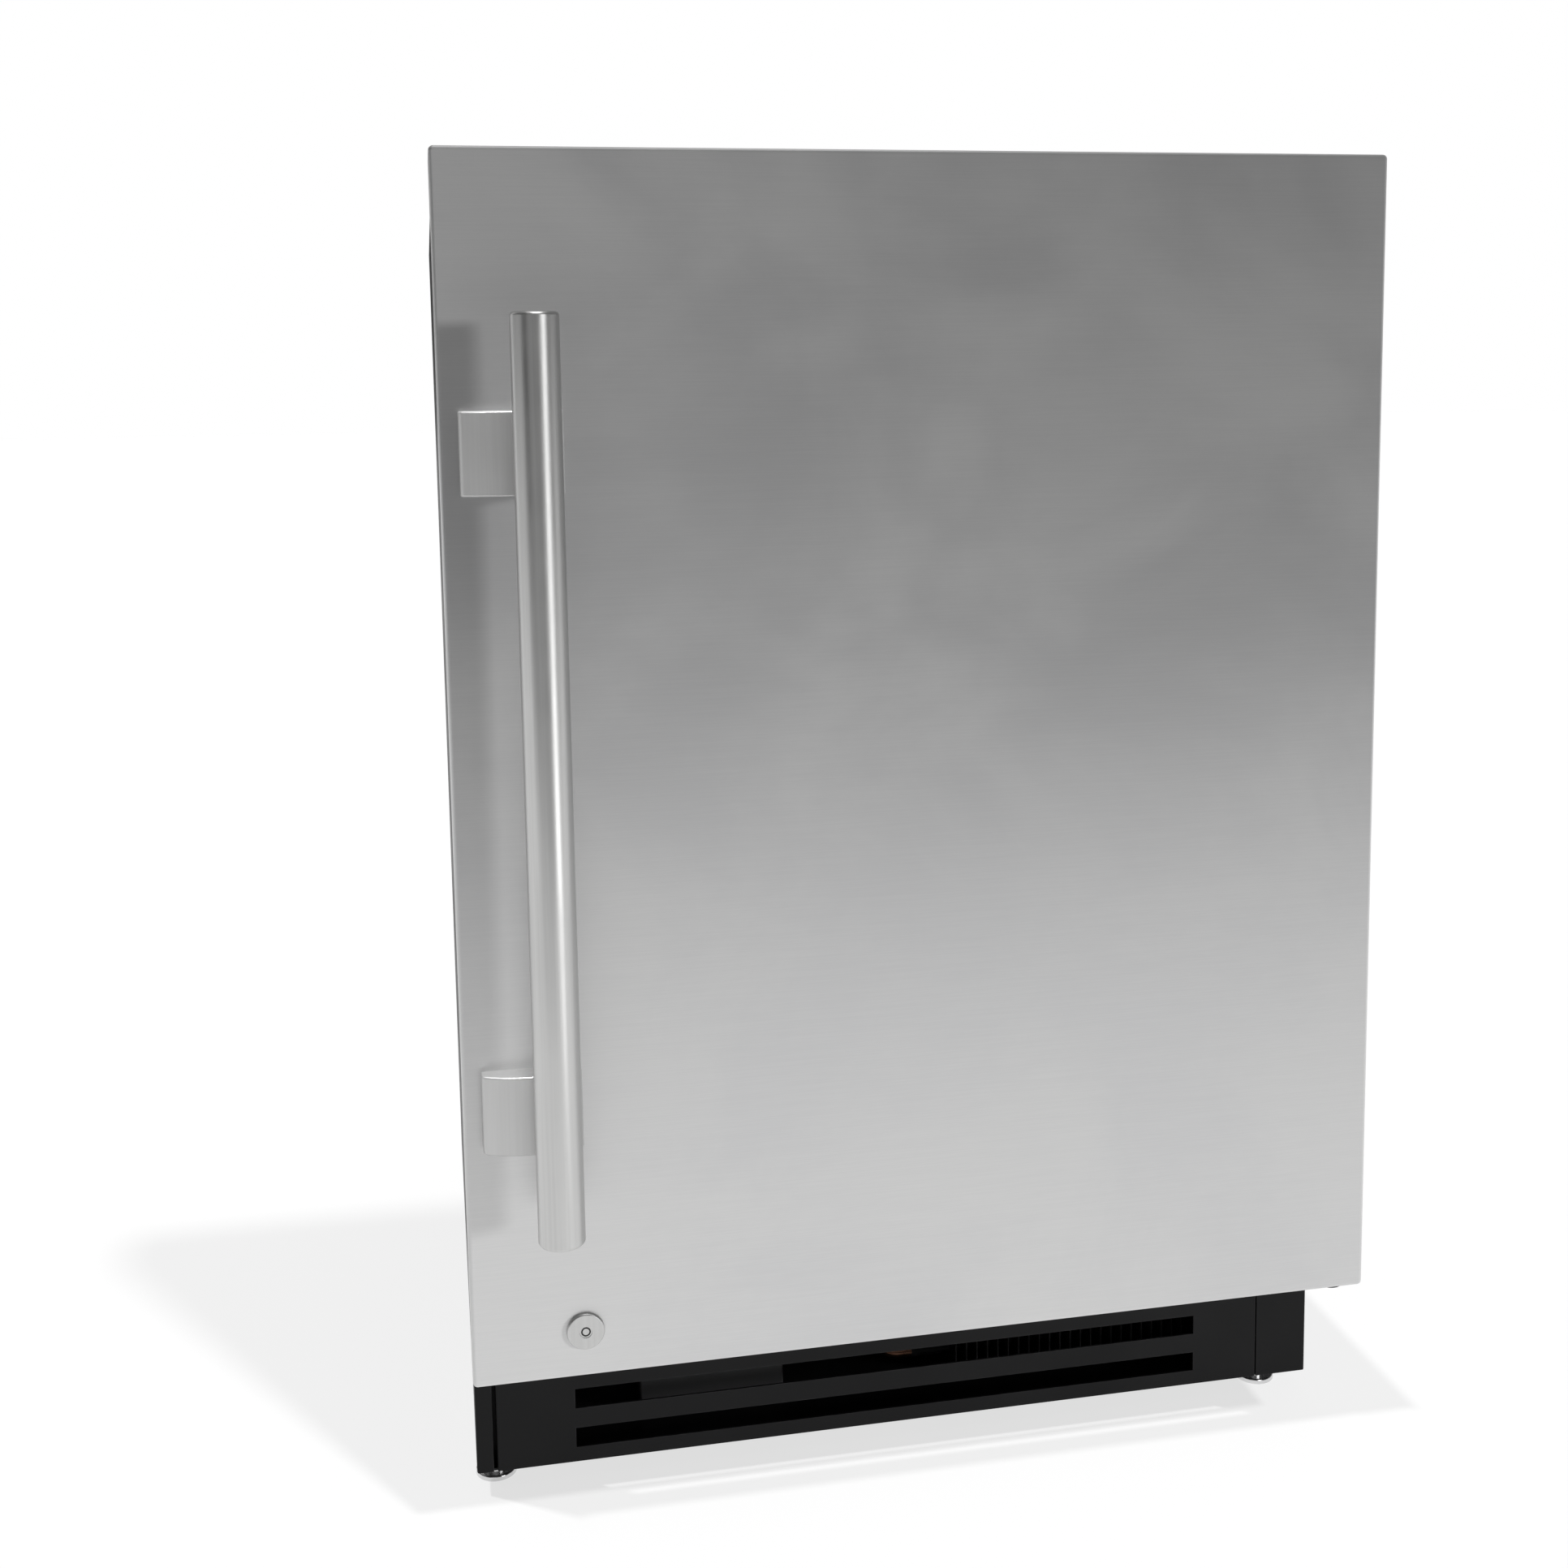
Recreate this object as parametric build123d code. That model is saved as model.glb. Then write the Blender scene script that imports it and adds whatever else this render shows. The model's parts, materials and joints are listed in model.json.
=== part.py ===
from build123d import *
import os

# Undercounter refrigerator, millimetres. The origin is on the floor, at the middle of the whole
# object's width and depth; the front faces -Y and +Z is up. Depths (named d) are measured from the
# front face of the door towards the back.

# Driving dimensions
DOOR_WIDTH = 606.0
DOOR_HEIGHT = 765.0
DOOR_BOTTOM = 120.0
DOOR_DEPTH = 60.0
CABINET_WIDTH = 604.0
CABINET_FACE = 75.0
CABINET_BACK = 632.0
CABINET_TOP = 869.0
CABINET_BOTTOM = 118.0
BASE_BOTTOM = 14.0
KICK_FACE = 79.0
BAR_RADIUS = 14.3
BAR_STANDOFF = 38.0

HANDLE_REACH = BAR_STANDOFF + BAR_RADIUS
DOOR_FRONT = HANDLE_REACH - (CABINET_BACK + HANDLE_REACH) / 2
DOOR_TOP = DOOR_BOTTOM + DOOR_HEIGHT
DOOR_HALF = DOOR_WIDTH / 2
SIDE = CABINET_WIDTH / 2
RUNNING_GAP = 0.05

# Door shell
SKIN = 0.9
DOOR_CORNER_RADIUS = 3.0
DOOR_LIP_RADIUS = 2.5
LINER_FACE = 57.0
PAN_DEPTH = 8.0
PAN_HALF_WIDTH = 232.0
PAN_BOTTOM = 215.0
PAN_TOP = 800.0
PAN_WALL = 3.0

# Door gasket: a base strip, a thin neck and a magnet strip
GASKET_HALF_WIDTH = 283.0
GASKET_BOTTOM = 172.0
GASKET_TOP = 848.0
GASKET_STRIP = 18.0
GASKET_NECK = 10.0
GASKET_END = 74.6

# Handle
BAR_X = -247.0
BAR_BOTTOM = 229.0
BAR_TOP = 787.5
BAR_END_RADIUS = 2.2
BRACKET_CENTRES = {"lower": 301.0, "upper": 706.0}
BRACKET_HEIGHT = 50.2
BRACKET_OUTER = -291.5
BRACKET_INNER = -230.0
BRACKET_CORNER = 4.0
BRACKET_EDGE = 1.2
HANDLE_SCREW_X = -276.0
HANDLE_SCREW_PITCH = 28.0
HANDLE_SCREW_RADIUS = 2.5
HANDLE_SCREW_HEAD = 4.5

# Lock
LOCK_X = -231.7
LOCK_Z = 150.8
LOCK_FLANGE_RADIUS = 12.0
LOCK_FLANGE = 2.6
LOCK_SHANK_RADIUS = 9.0
LOCK_SHANK_END = 64.0
PLUG_RADIUS = 4.0
CAM_FACE = 66.5
CAM_THICK = 3.0
CAM_REACH = 24.0
CAM_HALF_WIDTH = 7.0
CAM_SQUARE = 5.0
STRIKE_FACE = 62.0
STRIKE_BOTTOM = 121.5
STRIKE_LIP_TOP = 136.0
STRIKE_TOP = 148.0
STRIKE_WALL = 2.5
STRIKE_HALF = 15.0

# Hinges
PIVOT_X = 288.0
PIVOT_D = 20.0
PIN_RADIUS = 4.0
BUSH_RADIUS = 6.0
BUSH_FLANGE_RADIUS = 8.0
BUSH_LENGTH = 20.0
HINGE_EYE_RADIUS = 9.0
HINGE_PLATE = 3.5
POCKET_FLOOR = 866.0
POCKET_LEFT = 277.0
POCKET_FRONT = 4.0
LOWER_PLATE_BOTTOM = 114.0
HINGE_LEAF_RIGHT = 299.0
UPPER_LEAF_LEFT = 232.0
UPPER_LEAF_DEPTHS = (78.0, 150.0)
LOWER_LEAF_LEFT = 268.0
LOWER_LEAF_TOP = 164.0

# Cabinet shell and the food compartment inside it
SHEET = 0.8
FRAME_SHEET = 1.0
ROOF_RADIUS = 3.0
CAVITY_HALF = 256.0
CAVITY_BOTTOM = 192.0
CAVITY_TOP = 821.0
CAVITY_BACK = 572.0
CAVITY_RADIUS = 14.0
STEP_TOP = 330.0
STEP_FACE = 430.0
LINER = 1.5
ROOM_TOP = 285.0
ROOM_FACE = 475.0

# Base, kick plate and levelling legs
RAIL_SHEET = 1.5
RAIL_FLANGE = 40.0
RAIL_FRONT_TOP = 112.0
RIGHT_RETURN = 263.5
LEFT_RETURN = -290.7
KICK_LEFT = -288.2
KICK_RIGHT = 263.1
KICK_TOP = 110.0
KICK_RETURN = 12.0
FOLD_RADIUS = 1.4
TONGUE_FACE = 92.7
LEFT_TONGUE = -286.7
RIGHT_TONGUE = 286.0
SLOT_LEFT = -234.6
SLOT_RIGHT = 214.2
SLOT_BOTTOMS = (24.3, 52.4, 80.5)
SLOT_HEIGHT = 14.0
TRAY_FRONT = 94.0
TRAY_BACK = 626.0
TRAY_TOP = 17.5
LEGS = {
    "front_left": (-288.5, 104.0),
    "front_right": (274.0, 104.0),
    "rear_left": (-280.0, 600.0),
    "rear_right": (280.0, 600.0),
}
FOOT_RADIUS = 14.0
FOOT_THICK = 3.5
FOOT_COLLAR_RADIUS = 10.5
FOOT_COLLAR_TOP = 13.5
STUD_RADIUS = 5.0
STUD_TOP = 75.0
NUT_FLATS = 17.0
NUT_HEIGHT = 12.0

# Shelves
SHELF_LEVELS = {"lower": 400.0, "upper": 610.0}
SHELF_HALF = 245.0
SHELF_FRONT = 94.0
SHELF_BACK = 510.0
FRAME_WIRE = 3.0
STIFFENER_WIRE = 2.4
GRID_WIRE = 2.0
GRID_PITCH = 22.0
WELD_DEPTH = 1.0
SHELF_CORNER = 16.0
PILASTER_DEPTHS = (130.0, 470.0)
PILASTER_WIDTH = 20.0
PILASTER_THICK = 5.0
CLIP_WIDTH = 14.0
CLIP_REACH = 12.0

# Refrigeration
CONDENSER_X = (28.0, 248.0)
CONDENSER_D = 140.0
CONDENSER_ROWS = (30.0, 52.0, 74.0, 96.0)
COIL_TUBE = 4.0
COIL_BEND = 10.5
FIN = 0.8
FIN_PITCH = 8.0
CONDENSER_FAN = (138.0, 64.0)
CONDENSER_FAN_TIP = 40.0
EVAPORATOR_X = (-185.0, 185.0)
EVAPORATOR_D = 553.0
EVAPORATOR_ROWS = (505.0, 535.0, 565.0, 595.0, 625.0)
EVAPORATOR_BEND = 14.0
EVAPORATOR_FAN = (0.0, 715.0)
EVAPORATOR_FAN_TIP = 46.0
COVER_HALF = 235.0
COVER_FACE = 518.0
COVER_BOTTOM = 482.0
COVER_TOP = 790.0
COVER_WALL = 2.0
COMPRESSOR = (120.0, 545.0)
COMPRESSOR_RADIUS = 70.0
COMPRESSOR_BOTTOM = 38.0
COMPRESSOR_TOP = 186.0
COMPRESSOR_FOOT_BOTTOM = 32.0
GROMMET_SHANK = 5.0
GROMMET_RADIUS = 10.0
DRAIN_PAN_X = (-250.0, -50.0)
DRAIN_PAN_D = (490.0, 612.0)
DRAIN_PAN_TOP = 48.0
DRAIN_PAN_WALL = 2.0
CONTROLLER_X = (-186.0, -82.0)
CONTROLLER_D = (122.0, 196.0)
CONTROLLER_TOP = 60.0
LINE_RADIUS = 4.0
CAPILLARY_RADIUS = 2.5
SUCTION_ROUTE = (
    (186, 545, 150), (222, 545, 150), (222, 602, 150), (222, 602, 625), (222, 553, 625), (199, 553, 625),
)
DISCHARGE_ROUTE = ((54, 545, 96), (0, 545, 96), (0, 140, 96), (17.5, 140, 96))
LIQUID_ROUTE = ((17.5, 140, 30), (0, 140, 30), (0, 260, 30))
CAPILLARY_ROUTE = (
    (0, 350, 30), (0, 602, 30), (0, 602, 80), (-212, 602, 80), (-212, 602, 505), (-212, 553, 505),
    (-199, 553, 505),
)
LINE_BEND = 8.0
CAPILLARY_BEND = 6.0
DRIER_RADIUS = 9.0

# Controls
CONTROL_HALF = 120.0
CONTROL_FACE = 86.0
CONTROL_BACK = 118.0
CONTROL_BOTTOM = 790.0
BUTTON_XS = {"up": 58.0, "down": 84.0}
BUTTON_SIZE = 14.0
BUTTON_TRAVEL = 1.5
BUTTON_GAP = 0.4
BUTTON_Z = 805.5
DISPLAY_HALF = 34.0
DISPLAY_HEIGHT = 17.0
LIGHT_HALF = 150.0
LIGHT_DEPTHS = (124.0, 144.0)
LIGHT_THICK = 9.0

# Rear cover, inlet and the tabs for fixing to a worktop
REAR_COVER_FACE = 626.0
REAR_COVER_HALF = 299.0
REAR_SLOT_COLUMNS = (-145.0, 145.0)
REAR_SLOT_HALF = 110.0
REAR_SLOT_BOTTOM = 40.0
REAR_SLOT_PITCH = 15.0
REAR_SLOT_HEIGHT = 6.0
REAR_SLOT_ROWS = 11
INLET_X = -255.0
INLET_Z = 235.0
INLET_WIDTH = 24.0
INLET_HEIGHT = 16.5
INLET_WALL = 2.0
INLET_FLOOR = 611.0
INLET_END = 604.0
TAB_XS = (-200.0, 200.0)
TAB_HALF = 15.0
TAB_SHEET = 1.5
TAB_TOP = 883.5
TAB_HOLE_D = 90.0
TAB_HOLE_RADIUS = 2.5
TAB_SCREW_D = 122.0

# Screws: pan heads
SCREW_RADIUS = 2.0
SCREW_HEAD_RADIUS = 3.8
SCREW_HEAD = 2.2
SCREW_LENGTH = 10.0


def block(x0, x1, d0, d1, z0, z1):
    """A box from its limits across, in depth and in height."""
    centre = Pos((x0 + x1) / 2, DOOR_FRONT + (d0 + d1) / 2, (z0 + z1) / 2)
    return centre * Box(x1 - x0, d1 - d0, z1 - z0)


def upright(x, d, radius, z0, z1):
    """A vertical cylinder."""
    return Pos(x, DOOR_FRONT + d, (z0 + z1) / 2) * Cylinder(radius, z1 - z0)


def along_depth(x, z, radius, d0, d1):
    """A cylinder whose axis runs from front to back."""
    return Pos(x, DOOR_FRONT + (d0 + d1) / 2, z) * Rot(90, 0, 0) * Cylinder(radius, d1 - d0)


def across(d, z, radius, x0, x1):
    """A cylinder whose axis runs from left to right."""
    return Pos((x0 + x1) / 2, DOOR_FRONT + d, z) * Rot(0, 90, 0) * Cylinder(radius, x1 - x0)


def hex_nut(x, d, z0, z1, bore):
    """A standing hexagon nut."""
    profile = RegularPolygon(NUT_FLATS / 2, 6, major_radius=False) - Circle(bore)
    return Pos(x, DOOR_FRONT + d, z0) * extrude(profile, z1 - z0)


def tube(route, bend, radius):
    """A round bar bent along a route of points."""
    path = FilletPolyline(*[(x, DOOR_FRONT + d, z) for x, d, z in route], radius=bend)
    return sweep(Plane(origin=path @ 0, z_dir=path % 0) * Circle(radius), path=path)


def group(solids):
    """Separate solids that share one node."""
    return Compound(children=list(solids))


# ---------------------------------------------------------------- door shell

def rounded_slab(inset, d1):
    """The door's outline, shrunk by an inset, with rounded corners and a rounded front lip."""
    half = DOOR_HALF - inset
    slab = block(-half, half, inset, d1, DOOR_BOTTOM + inset, DOOR_TOP - inset)
    slab = fillet(slab.edges().filter_by(Axis.Y), DOOR_CORNER_RADIUS - inset)
    return fillet(slab.faces().sort_by(Axis.Y)[0].edges(), DOOR_LIP_RADIUS - inset)


def hinge_pocket():
    """The corner notch over the upper hinge, open to the top, the back and the right."""
    beyond = 10
    return block(POCKET_LEFT, DOOR_HALF + beyond, POCKET_FRONT, DOOR_DEPTH + beyond, POCKET_FLOOR,
                 DOOR_TOP + beyond)


def bush_holes():
    """The two holes that the hinge bushes are pressed into."""
    upper = upright(PIVOT_X, PIVOT_D, BUSH_RADIUS, POCKET_FLOOR - BUSH_LENGTH, POCKET_FLOOR)
    lower = upright(PIVOT_X, PIVOT_D, BUSH_RADIUS, DOOR_BOTTOM, DOOR_BOTTOM + BUSH_LENGTH)
    return upper + lower


def handle_screw_places():
    """Height of every handle screw."""
    for centre in BRACKET_CENTRES.values():
        for side in (-1, 1):
            yield centre + side * HANDLE_SCREW_PITCH / 2


def handle_screw_list():
    """Screws that hold the brackets from inside the door."""
    head_end = SKIN + 3.0
    for z in handle_screw_places():
        head = along_depth(HANDLE_SCREW_X, z, HANDLE_SCREW_HEAD, SKIN, head_end)
        yield head + along_depth(HANDLE_SCREW_X, z, HANDLE_SCREW_RADIUS, -7.5, SKIN)


def door_skin():
    skin = rounded_slab(0, LINER_FACE) - rounded_slab(SKIN, DOOR_DEPTH) - hinge_pocket() - bush_holes()
    skin -= along_depth(LOCK_X, LOCK_Z, LOCK_SHANK_RADIUS, 0, LINER_FACE)
    for screw in handle_screw_list():
        skin -= screw
    return skin


def pan(grow, d1):
    """The shallow recess pressed into the door's inner liner."""
    half = PAN_HALF_WIDTH + grow
    body = block(-half, half, DOOR_DEPTH - PAN_DEPTH - grow, d1, PAN_BOTTOM - grow, PAN_TOP + grow)
    return fillet(body.edges().filter_by(Axis.Y), CAVITY_RADIUS + grow)


def door_foam():
    foam = rounded_slab(SKIN, LINER_FACE) - pan(PAN_WALL, DOOR_DEPTH) - hinge_pocket() - bush_holes()
    foam -= along_depth(LOCK_X, LOCK_Z, LOCK_SHANK_RADIUS, 0, LINER_FACE)
    for screw in handle_screw_list():
        foam -= screw
    return foam


def door_liner():
    inset = 1.0
    half = DOOR_HALF - inset
    sheet = block(-half, half, LINER_FACE, DOOR_DEPTH, DOOR_BOTTOM + inset, DOOR_TOP - inset)
    sheet = fillet(sheet.edges().filter_by(Axis.Y), DOOR_CORNER_RADIUS)
    sheet = fillet(sheet.faces().sort_by(Axis.Y)[-1].edges(), inset)
    sheet = sheet + pan(PAN_WALL, DOOR_DEPTH) - pan(0, DOOR_DEPTH + 1) - hinge_pocket()
    return sheet - along_depth(LOCK_X, LOCK_Z, LOCK_SHANK_RADIUS, LINER_FACE - 1, DOOR_DEPTH + 1)


def gasket_ring(inset, strip, d0, d1):
    """One rectangular strip of the gasket, with rounded outer and inner corners."""
    half = GASKET_HALF_WIDTH - inset
    low = GASKET_BOTTOM + inset
    high = GASKET_TOP - inset
    outer = block(-half, half, d0, d1, low, high)
    outer = fillet(outer.edges().filter_by(Axis.Y), GASKET_STRIP)
    inner = block(strip - half, half - strip, d0, d1, low + strip, high - strip)
    inner = fillet(inner.edges().filter_by(Axis.Y), GASKET_STRIP / 2)
    return outer - inner


def door_gasket():
    neck_inset = (GASKET_STRIP - GASKET_NECK) / 2
    base_end = 65.0
    magnet_face = 69.0
    ring = gasket_ring(0, GASKET_STRIP, DOOR_DEPTH, base_end)
    ring += gasket_ring(neck_inset, GASKET_NECK, base_end, magnet_face)
    return ring + gasket_ring(0, GASKET_STRIP, magnet_face, GASKET_END)


# ---------------------------------------------------------------- handle

def handle_bar():
    bar = upright(BAR_X, -BAR_STANDOFF, BAR_RADIUS, BAR_BOTTOM, BAR_TOP)
    return fillet(bar.edges().filter_by(GeomType.CIRCLE), BAR_END_RADIUS)


def handle_bracket(centre):
    """A foot with a crowned front that lies on the door, and a neck that reaches round the back of the bar."""
    shoulder = 8.5
    neck_left = BAR_X - 10.5
    neck_right = BAR_X + 10.5
    crown = ThreePointArc((BRACKET_OUTER, -shoulder), (-278.0, -13.6), (neck_left, -16.0))
    rest = Polyline(
        (neck_left, -16.0),
        (neck_left, -BAR_STANDOFF),
        (neck_right, -BAR_STANDOFF),
        (neck_right, -16.0),
        (BRACKET_INNER, -shoulder),
        (BRACKET_INNER, 0),
        (BRACKET_OUTER, 0),
        (BRACKET_OUTER, -shoulder),
    )
    low = centre - BRACKET_HEIGHT / 2
    outline = make_face(crown.edges() + rest.edges())
    body = Pos(0, DOOR_FRONT, low) * extrude(outline, BRACKET_HEIGHT, dir=(0, 0, 1))
    corner = body.edges().filter_by(Axis.Z).sort_by(Axis.X)[:2].sort_by(Axis.Y)[0]
    body = fillet(corner, BRACKET_CORNER)
    ends = body.faces().filter_by(Axis.Z)
    front_edges = [e for face in ends for e in face.edges() if e.center().Y < DOOR_FRONT - 1]
    body = fillet(front_edges, BRACKET_EDGE)
    body -= upright(BAR_X, -BAR_STANDOFF, BAR_RADIUS, low - 1, low + BRACKET_HEIGHT + 1)
    for screw in handle_screw_list():
        body -= screw
    return body


# ---------------------------------------------------------------- lock

def lock_body():
    flange = along_depth(LOCK_X, LOCK_Z, LOCK_FLANGE_RADIUS, -LOCK_FLANGE, 0)
    flange = fillet(flange.faces().sort_by(Axis.Y)[0].edges(), 1.2)
    body = flange + along_depth(LOCK_X, LOCK_Z, LOCK_SHANK_RADIUS, 0, LOCK_SHANK_END)
    body -= along_depth(LOCK_X, LOCK_Z, PLUG_RADIUS + RUNNING_GAP, -LOCK_FLANGE, LOCK_SHANK_END)
    return body


def lock_nut():
    outer = 12.5
    nut = extrude(RegularPolygon(outer, 6) - Circle(LOCK_SHANK_RADIUS), 3)
    return Pos(LOCK_X, DOOR_FRONT + DOOR_DEPTH, LOCK_Z) * Rot(-90, 0, 0) * nut


def lock_plug():
    face = 0.4 - LOCK_FLANGE
    groove_depth = 3.0
    plug = along_depth(LOCK_X, LOCK_Z, PLUG_RADIUS, face, CAM_FACE)
    groove = along_depth(LOCK_X, LOCK_Z, 3.1, face, face + groove_depth)
    plug -= groove - along_depth(LOCK_X, LOCK_Z, 2.1, face, face + groove_depth)
    half = CAM_SQUARE / 2
    return plug + block(LOCK_X - half, LOCK_X + half, CAM_FACE, CAM_FACE + CAM_THICK, LOCK_Z - half,
                        LOCK_Z + half)


def lock_cam():
    end = CAM_FACE + CAM_THICK
    cam = along_depth(LOCK_X, LOCK_Z, CAM_HALF_WIDTH, CAM_FACE, end)
    cam += block(LOCK_X, LOCK_X + CAM_REACH, CAM_FACE, end, LOCK_Z - CAM_HALF_WIDTH, LOCK_Z + CAM_HALF_WIDTH)
    half = CAM_SQUARE / 2
    return cam - block(LOCK_X - half, LOCK_X + half, CAM_FACE, end, LOCK_Z - half, LOCK_Z + half)


def lock_cam_screw():
    end = CAM_FACE + CAM_THICK
    return along_depth(LOCK_X, LOCK_Z, SCREW_HEAD_RADIUS, end, end + SCREW_HEAD)


def strike_plate():
    """A channel, open at the top, that the turned cam drops into."""
    left = LOCK_X - STRIKE_HALF
    right = LOCK_X + STRIKE_HALF
    channel = block(left, right, STRIKE_FACE, CABINET_FACE, STRIKE_BOTTOM, STRIKE_BOTTOM + STRIKE_WALL)
    channel += block(left, right, STRIKE_FACE, STRIKE_FACE + STRIKE_WALL, STRIKE_BOTTOM, STRIKE_LIP_TOP)
    channel += block(left, right, CABINET_FACE - STRIKE_WALL, CABINET_FACE, STRIKE_BOTTOM, STRIKE_TOP)
    return channel - cabinet_screws()


# ---------------------------------------------------------------- hinges

def hinge_bushings():
    bore = PIN_RADIUS + RUNNING_GAP
    upper_low = POCKET_FLOOR - BUSH_LENGTH
    upper = upright(PIVOT_X, PIVOT_D, BUSH_RADIUS, upper_low, POCKET_FLOOR)
    upper += upright(PIVOT_X, PIVOT_D, BUSH_FLANGE_RADIUS, POCKET_FLOOR, POCKET_FLOOR + 2)
    upper -= upright(PIVOT_X, PIVOT_D, bore, upper_low, POCKET_FLOOR + 2)
    lower = upright(PIVOT_X, PIVOT_D, BUSH_RADIUS, DOOR_BOTTOM, DOOR_BOTTOM + BUSH_LENGTH)
    lower += upright(PIVOT_X, PIVOT_D, BUSH_FLANGE_RADIUS, DOOR_BOTTOM - 1.5, DOOR_BOTTOM)
    lower -= upright(PIVOT_X, PIVOT_D, bore, DOOR_BOTTOM - 1.5, DOOR_BOTTOM + BUSH_LENGTH)
    return group([upper, lower])


def hinge_pins():
    upper = upright(PIVOT_X, PIVOT_D, PIN_RADIUS, POCKET_FLOOR - BUSH_LENGTH, CABINET_TOP + HINGE_PLATE)
    lower = upright(PIVOT_X, PIVOT_D, PIN_RADIUS, LOWER_PLATE_BOTTOM, DOOR_BOTTOM + BUSH_LENGTH)
    return group([upper, lower])


def hinge_arm(z0, d1):
    """The flat arm from the pivot back to the cabinet."""
    arm = upright(PIVOT_X, PIVOT_D, HINGE_EYE_RADIUS, z0, z0 + HINGE_PLATE)
    arm += block(PIVOT_X - HINGE_EYE_RADIUS, PIVOT_X + HINGE_EYE_RADIUS, PIVOT_D, d1, z0, z0 + HINGE_PLATE)
    return arm - upright(PIVOT_X, PIVOT_D, PIN_RADIUS, z0, z0 + HINGE_PLATE)


def hinge_plate_top():
    d0, d1 = UPPER_LEAF_DEPTHS
    leaf = block(UPPER_LEAF_LEFT, HINGE_LEAF_RIGHT, d0, d1, CABINET_TOP, CABINET_TOP + HINGE_PLATE)
    leaf = fillet(leaf.edges().filter_by(Axis.Z), 6)
    return hinge_arm(CABINET_TOP, d1 - 10) + leaf - cabinet_screws()


def hinge_plate_bottom():
    leaf = block(LOWER_LEAF_LEFT, HINGE_LEAF_RIGHT, CABINET_FACE - HINGE_PLATE, CABINET_FACE,
                 LOWER_PLATE_BOTTOM, LOWER_LEAF_TOP)
    return hinge_arm(LOWER_PLATE_BOTTOM, CABINET_FACE) + leaf - cabinet_screws()


# ---------------------------------------------------------------- cabinet shell

def cavity(grow):
    """The food compartment with the step over the compressor, grown by a wall thickness."""
    half = CAVITY_HALF + grow
    space = block(-half, half, CABINET_FACE, CAVITY_BACK + grow, CAVITY_BOTTOM - grow, CAVITY_TOP + grow)
    space = fillet(space.edges().filter_by(Axis.Y), CAVITY_RADIUS + grow)
    step = block(-half - 1, half + 1, STEP_FACE + grow, CAVITY_BACK + grow + 1, CAVITY_BOTTOM - grow - 1,
                 STEP_TOP - grow)
    return space - step


def buried_lines():
    """The stretches of refrigerant line that run through the foam."""
    return tube(SUCTION_ROUTE, LINE_BEND, LINE_RADIUS) + tube(CAPILLARY_ROUTE, CAPILLARY_BEND, CAPILLARY_RADIUS)


def roofed(inset, d0, d1, z0):
    """The cabinet's outline, shrunk by an inset, with its two upper edges rounded."""
    half = SIDE - inset
    body = block(-half, half, d0, d1, z0, CABINET_TOP - inset)
    return fillet(body.edges().filter_by(Axis.Y).sort_by(Axis.Z)[-2:], ROOF_RADIUS - inset)


def cabinet_wrapper():
    outer = roofed(0, CABINET_FACE + FRAME_SHEET, CABINET_BACK, CABINET_BOTTOM)
    return outer - roofed(SHEET, CABINET_FACE, CABINET_BACK + 1, CABINET_BOTTOM - 1) - cabinet_screws()


def front_frame():
    frame = roofed(0, CABINET_FACE, CABINET_FACE + FRAME_SHEET, CABINET_BOTTOM)
    return frame - cavity(LINER) - cabinet_screws()


def inner_liner():
    flange = CABINET_FACE + FRAME_SHEET
    liner = cavity(LINER) - cavity(0)
    return liner - block(-SIDE, SIDE, CABINET_FACE - 1, flange - 1, 0, CABINET_TOP) - buried_lines()


def cabinet_foam():
    back = CABINET_BACK - SHEET
    foam = roofed(SHEET, CABINET_FACE + FRAME_SHEET, back, CABINET_BOTTOM + FRAME_SHEET)
    foam -= block(-SIDE, SIDE, ROOM_FACE - FRAME_SHEET, back + 1, 0, ROOM_TOP)
    return foam - cavity(LINER) - buried_lines() - cabinet_screws()


def belly_pan():
    """The folded sheet under the foam and over the machine compartment."""
    half = SIDE - SHEET
    step = ROOM_FACE - FRAME_SHEET
    back = CABINET_BACK - SHEET
    sheet = block(-half, half, CABINET_FACE + FRAME_SHEET, ROOM_FACE, CABINET_BOTTOM,
                  CABINET_BOTTOM + FRAME_SHEET)
    sheet += block(-half, half, step, ROOM_FACE, CABINET_BOTTOM, ROOM_TOP)
    sheet += block(-half, half, step, back, ROOM_TOP - FRAME_SHEET, ROOM_TOP)
    return sheet - buried_lines()


def back_panel():
    return roofed(SHEET, CABINET_BACK - SHEET, CABINET_BACK, ROOM_TOP - FRAME_SHEET)


def rear_cover():
    """The slotted cover of the machine compartment, set in from the back edge."""
    end = REAR_COVER_FACE + FRAME_SHEET
    cover = block(-REAR_COVER_HALF, REAR_COVER_HALF, REAR_COVER_FACE, end, TRAY_TOP, ROOM_TOP - 2)
    for column in REAR_SLOT_COLUMNS:
        for row in range(REAR_SLOT_ROWS):
            z = REAR_SLOT_BOTTOM + row * REAR_SLOT_PITCH
            cover -= block(column - REAR_SLOT_HALF, column + REAR_SLOT_HALF, REAR_COVER_FACE, end,
                           z, z + REAR_SLOT_HEIGHT)
    return cover - inlet_block(INLET_WALL, REAR_COVER_FACE, end) - cabinet_screws()


def inlet_block(grow, d0, d1):
    """The outline of the inlet's recess, grown by a wall thickness."""
    half_w = INLET_WIDTH / 2 + grow
    half_h = INLET_HEIGHT / 2 + grow
    return block(INLET_X - half_w, INLET_X + half_w, d0, d1, INLET_Z - half_h, INLET_Z + half_h)


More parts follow.
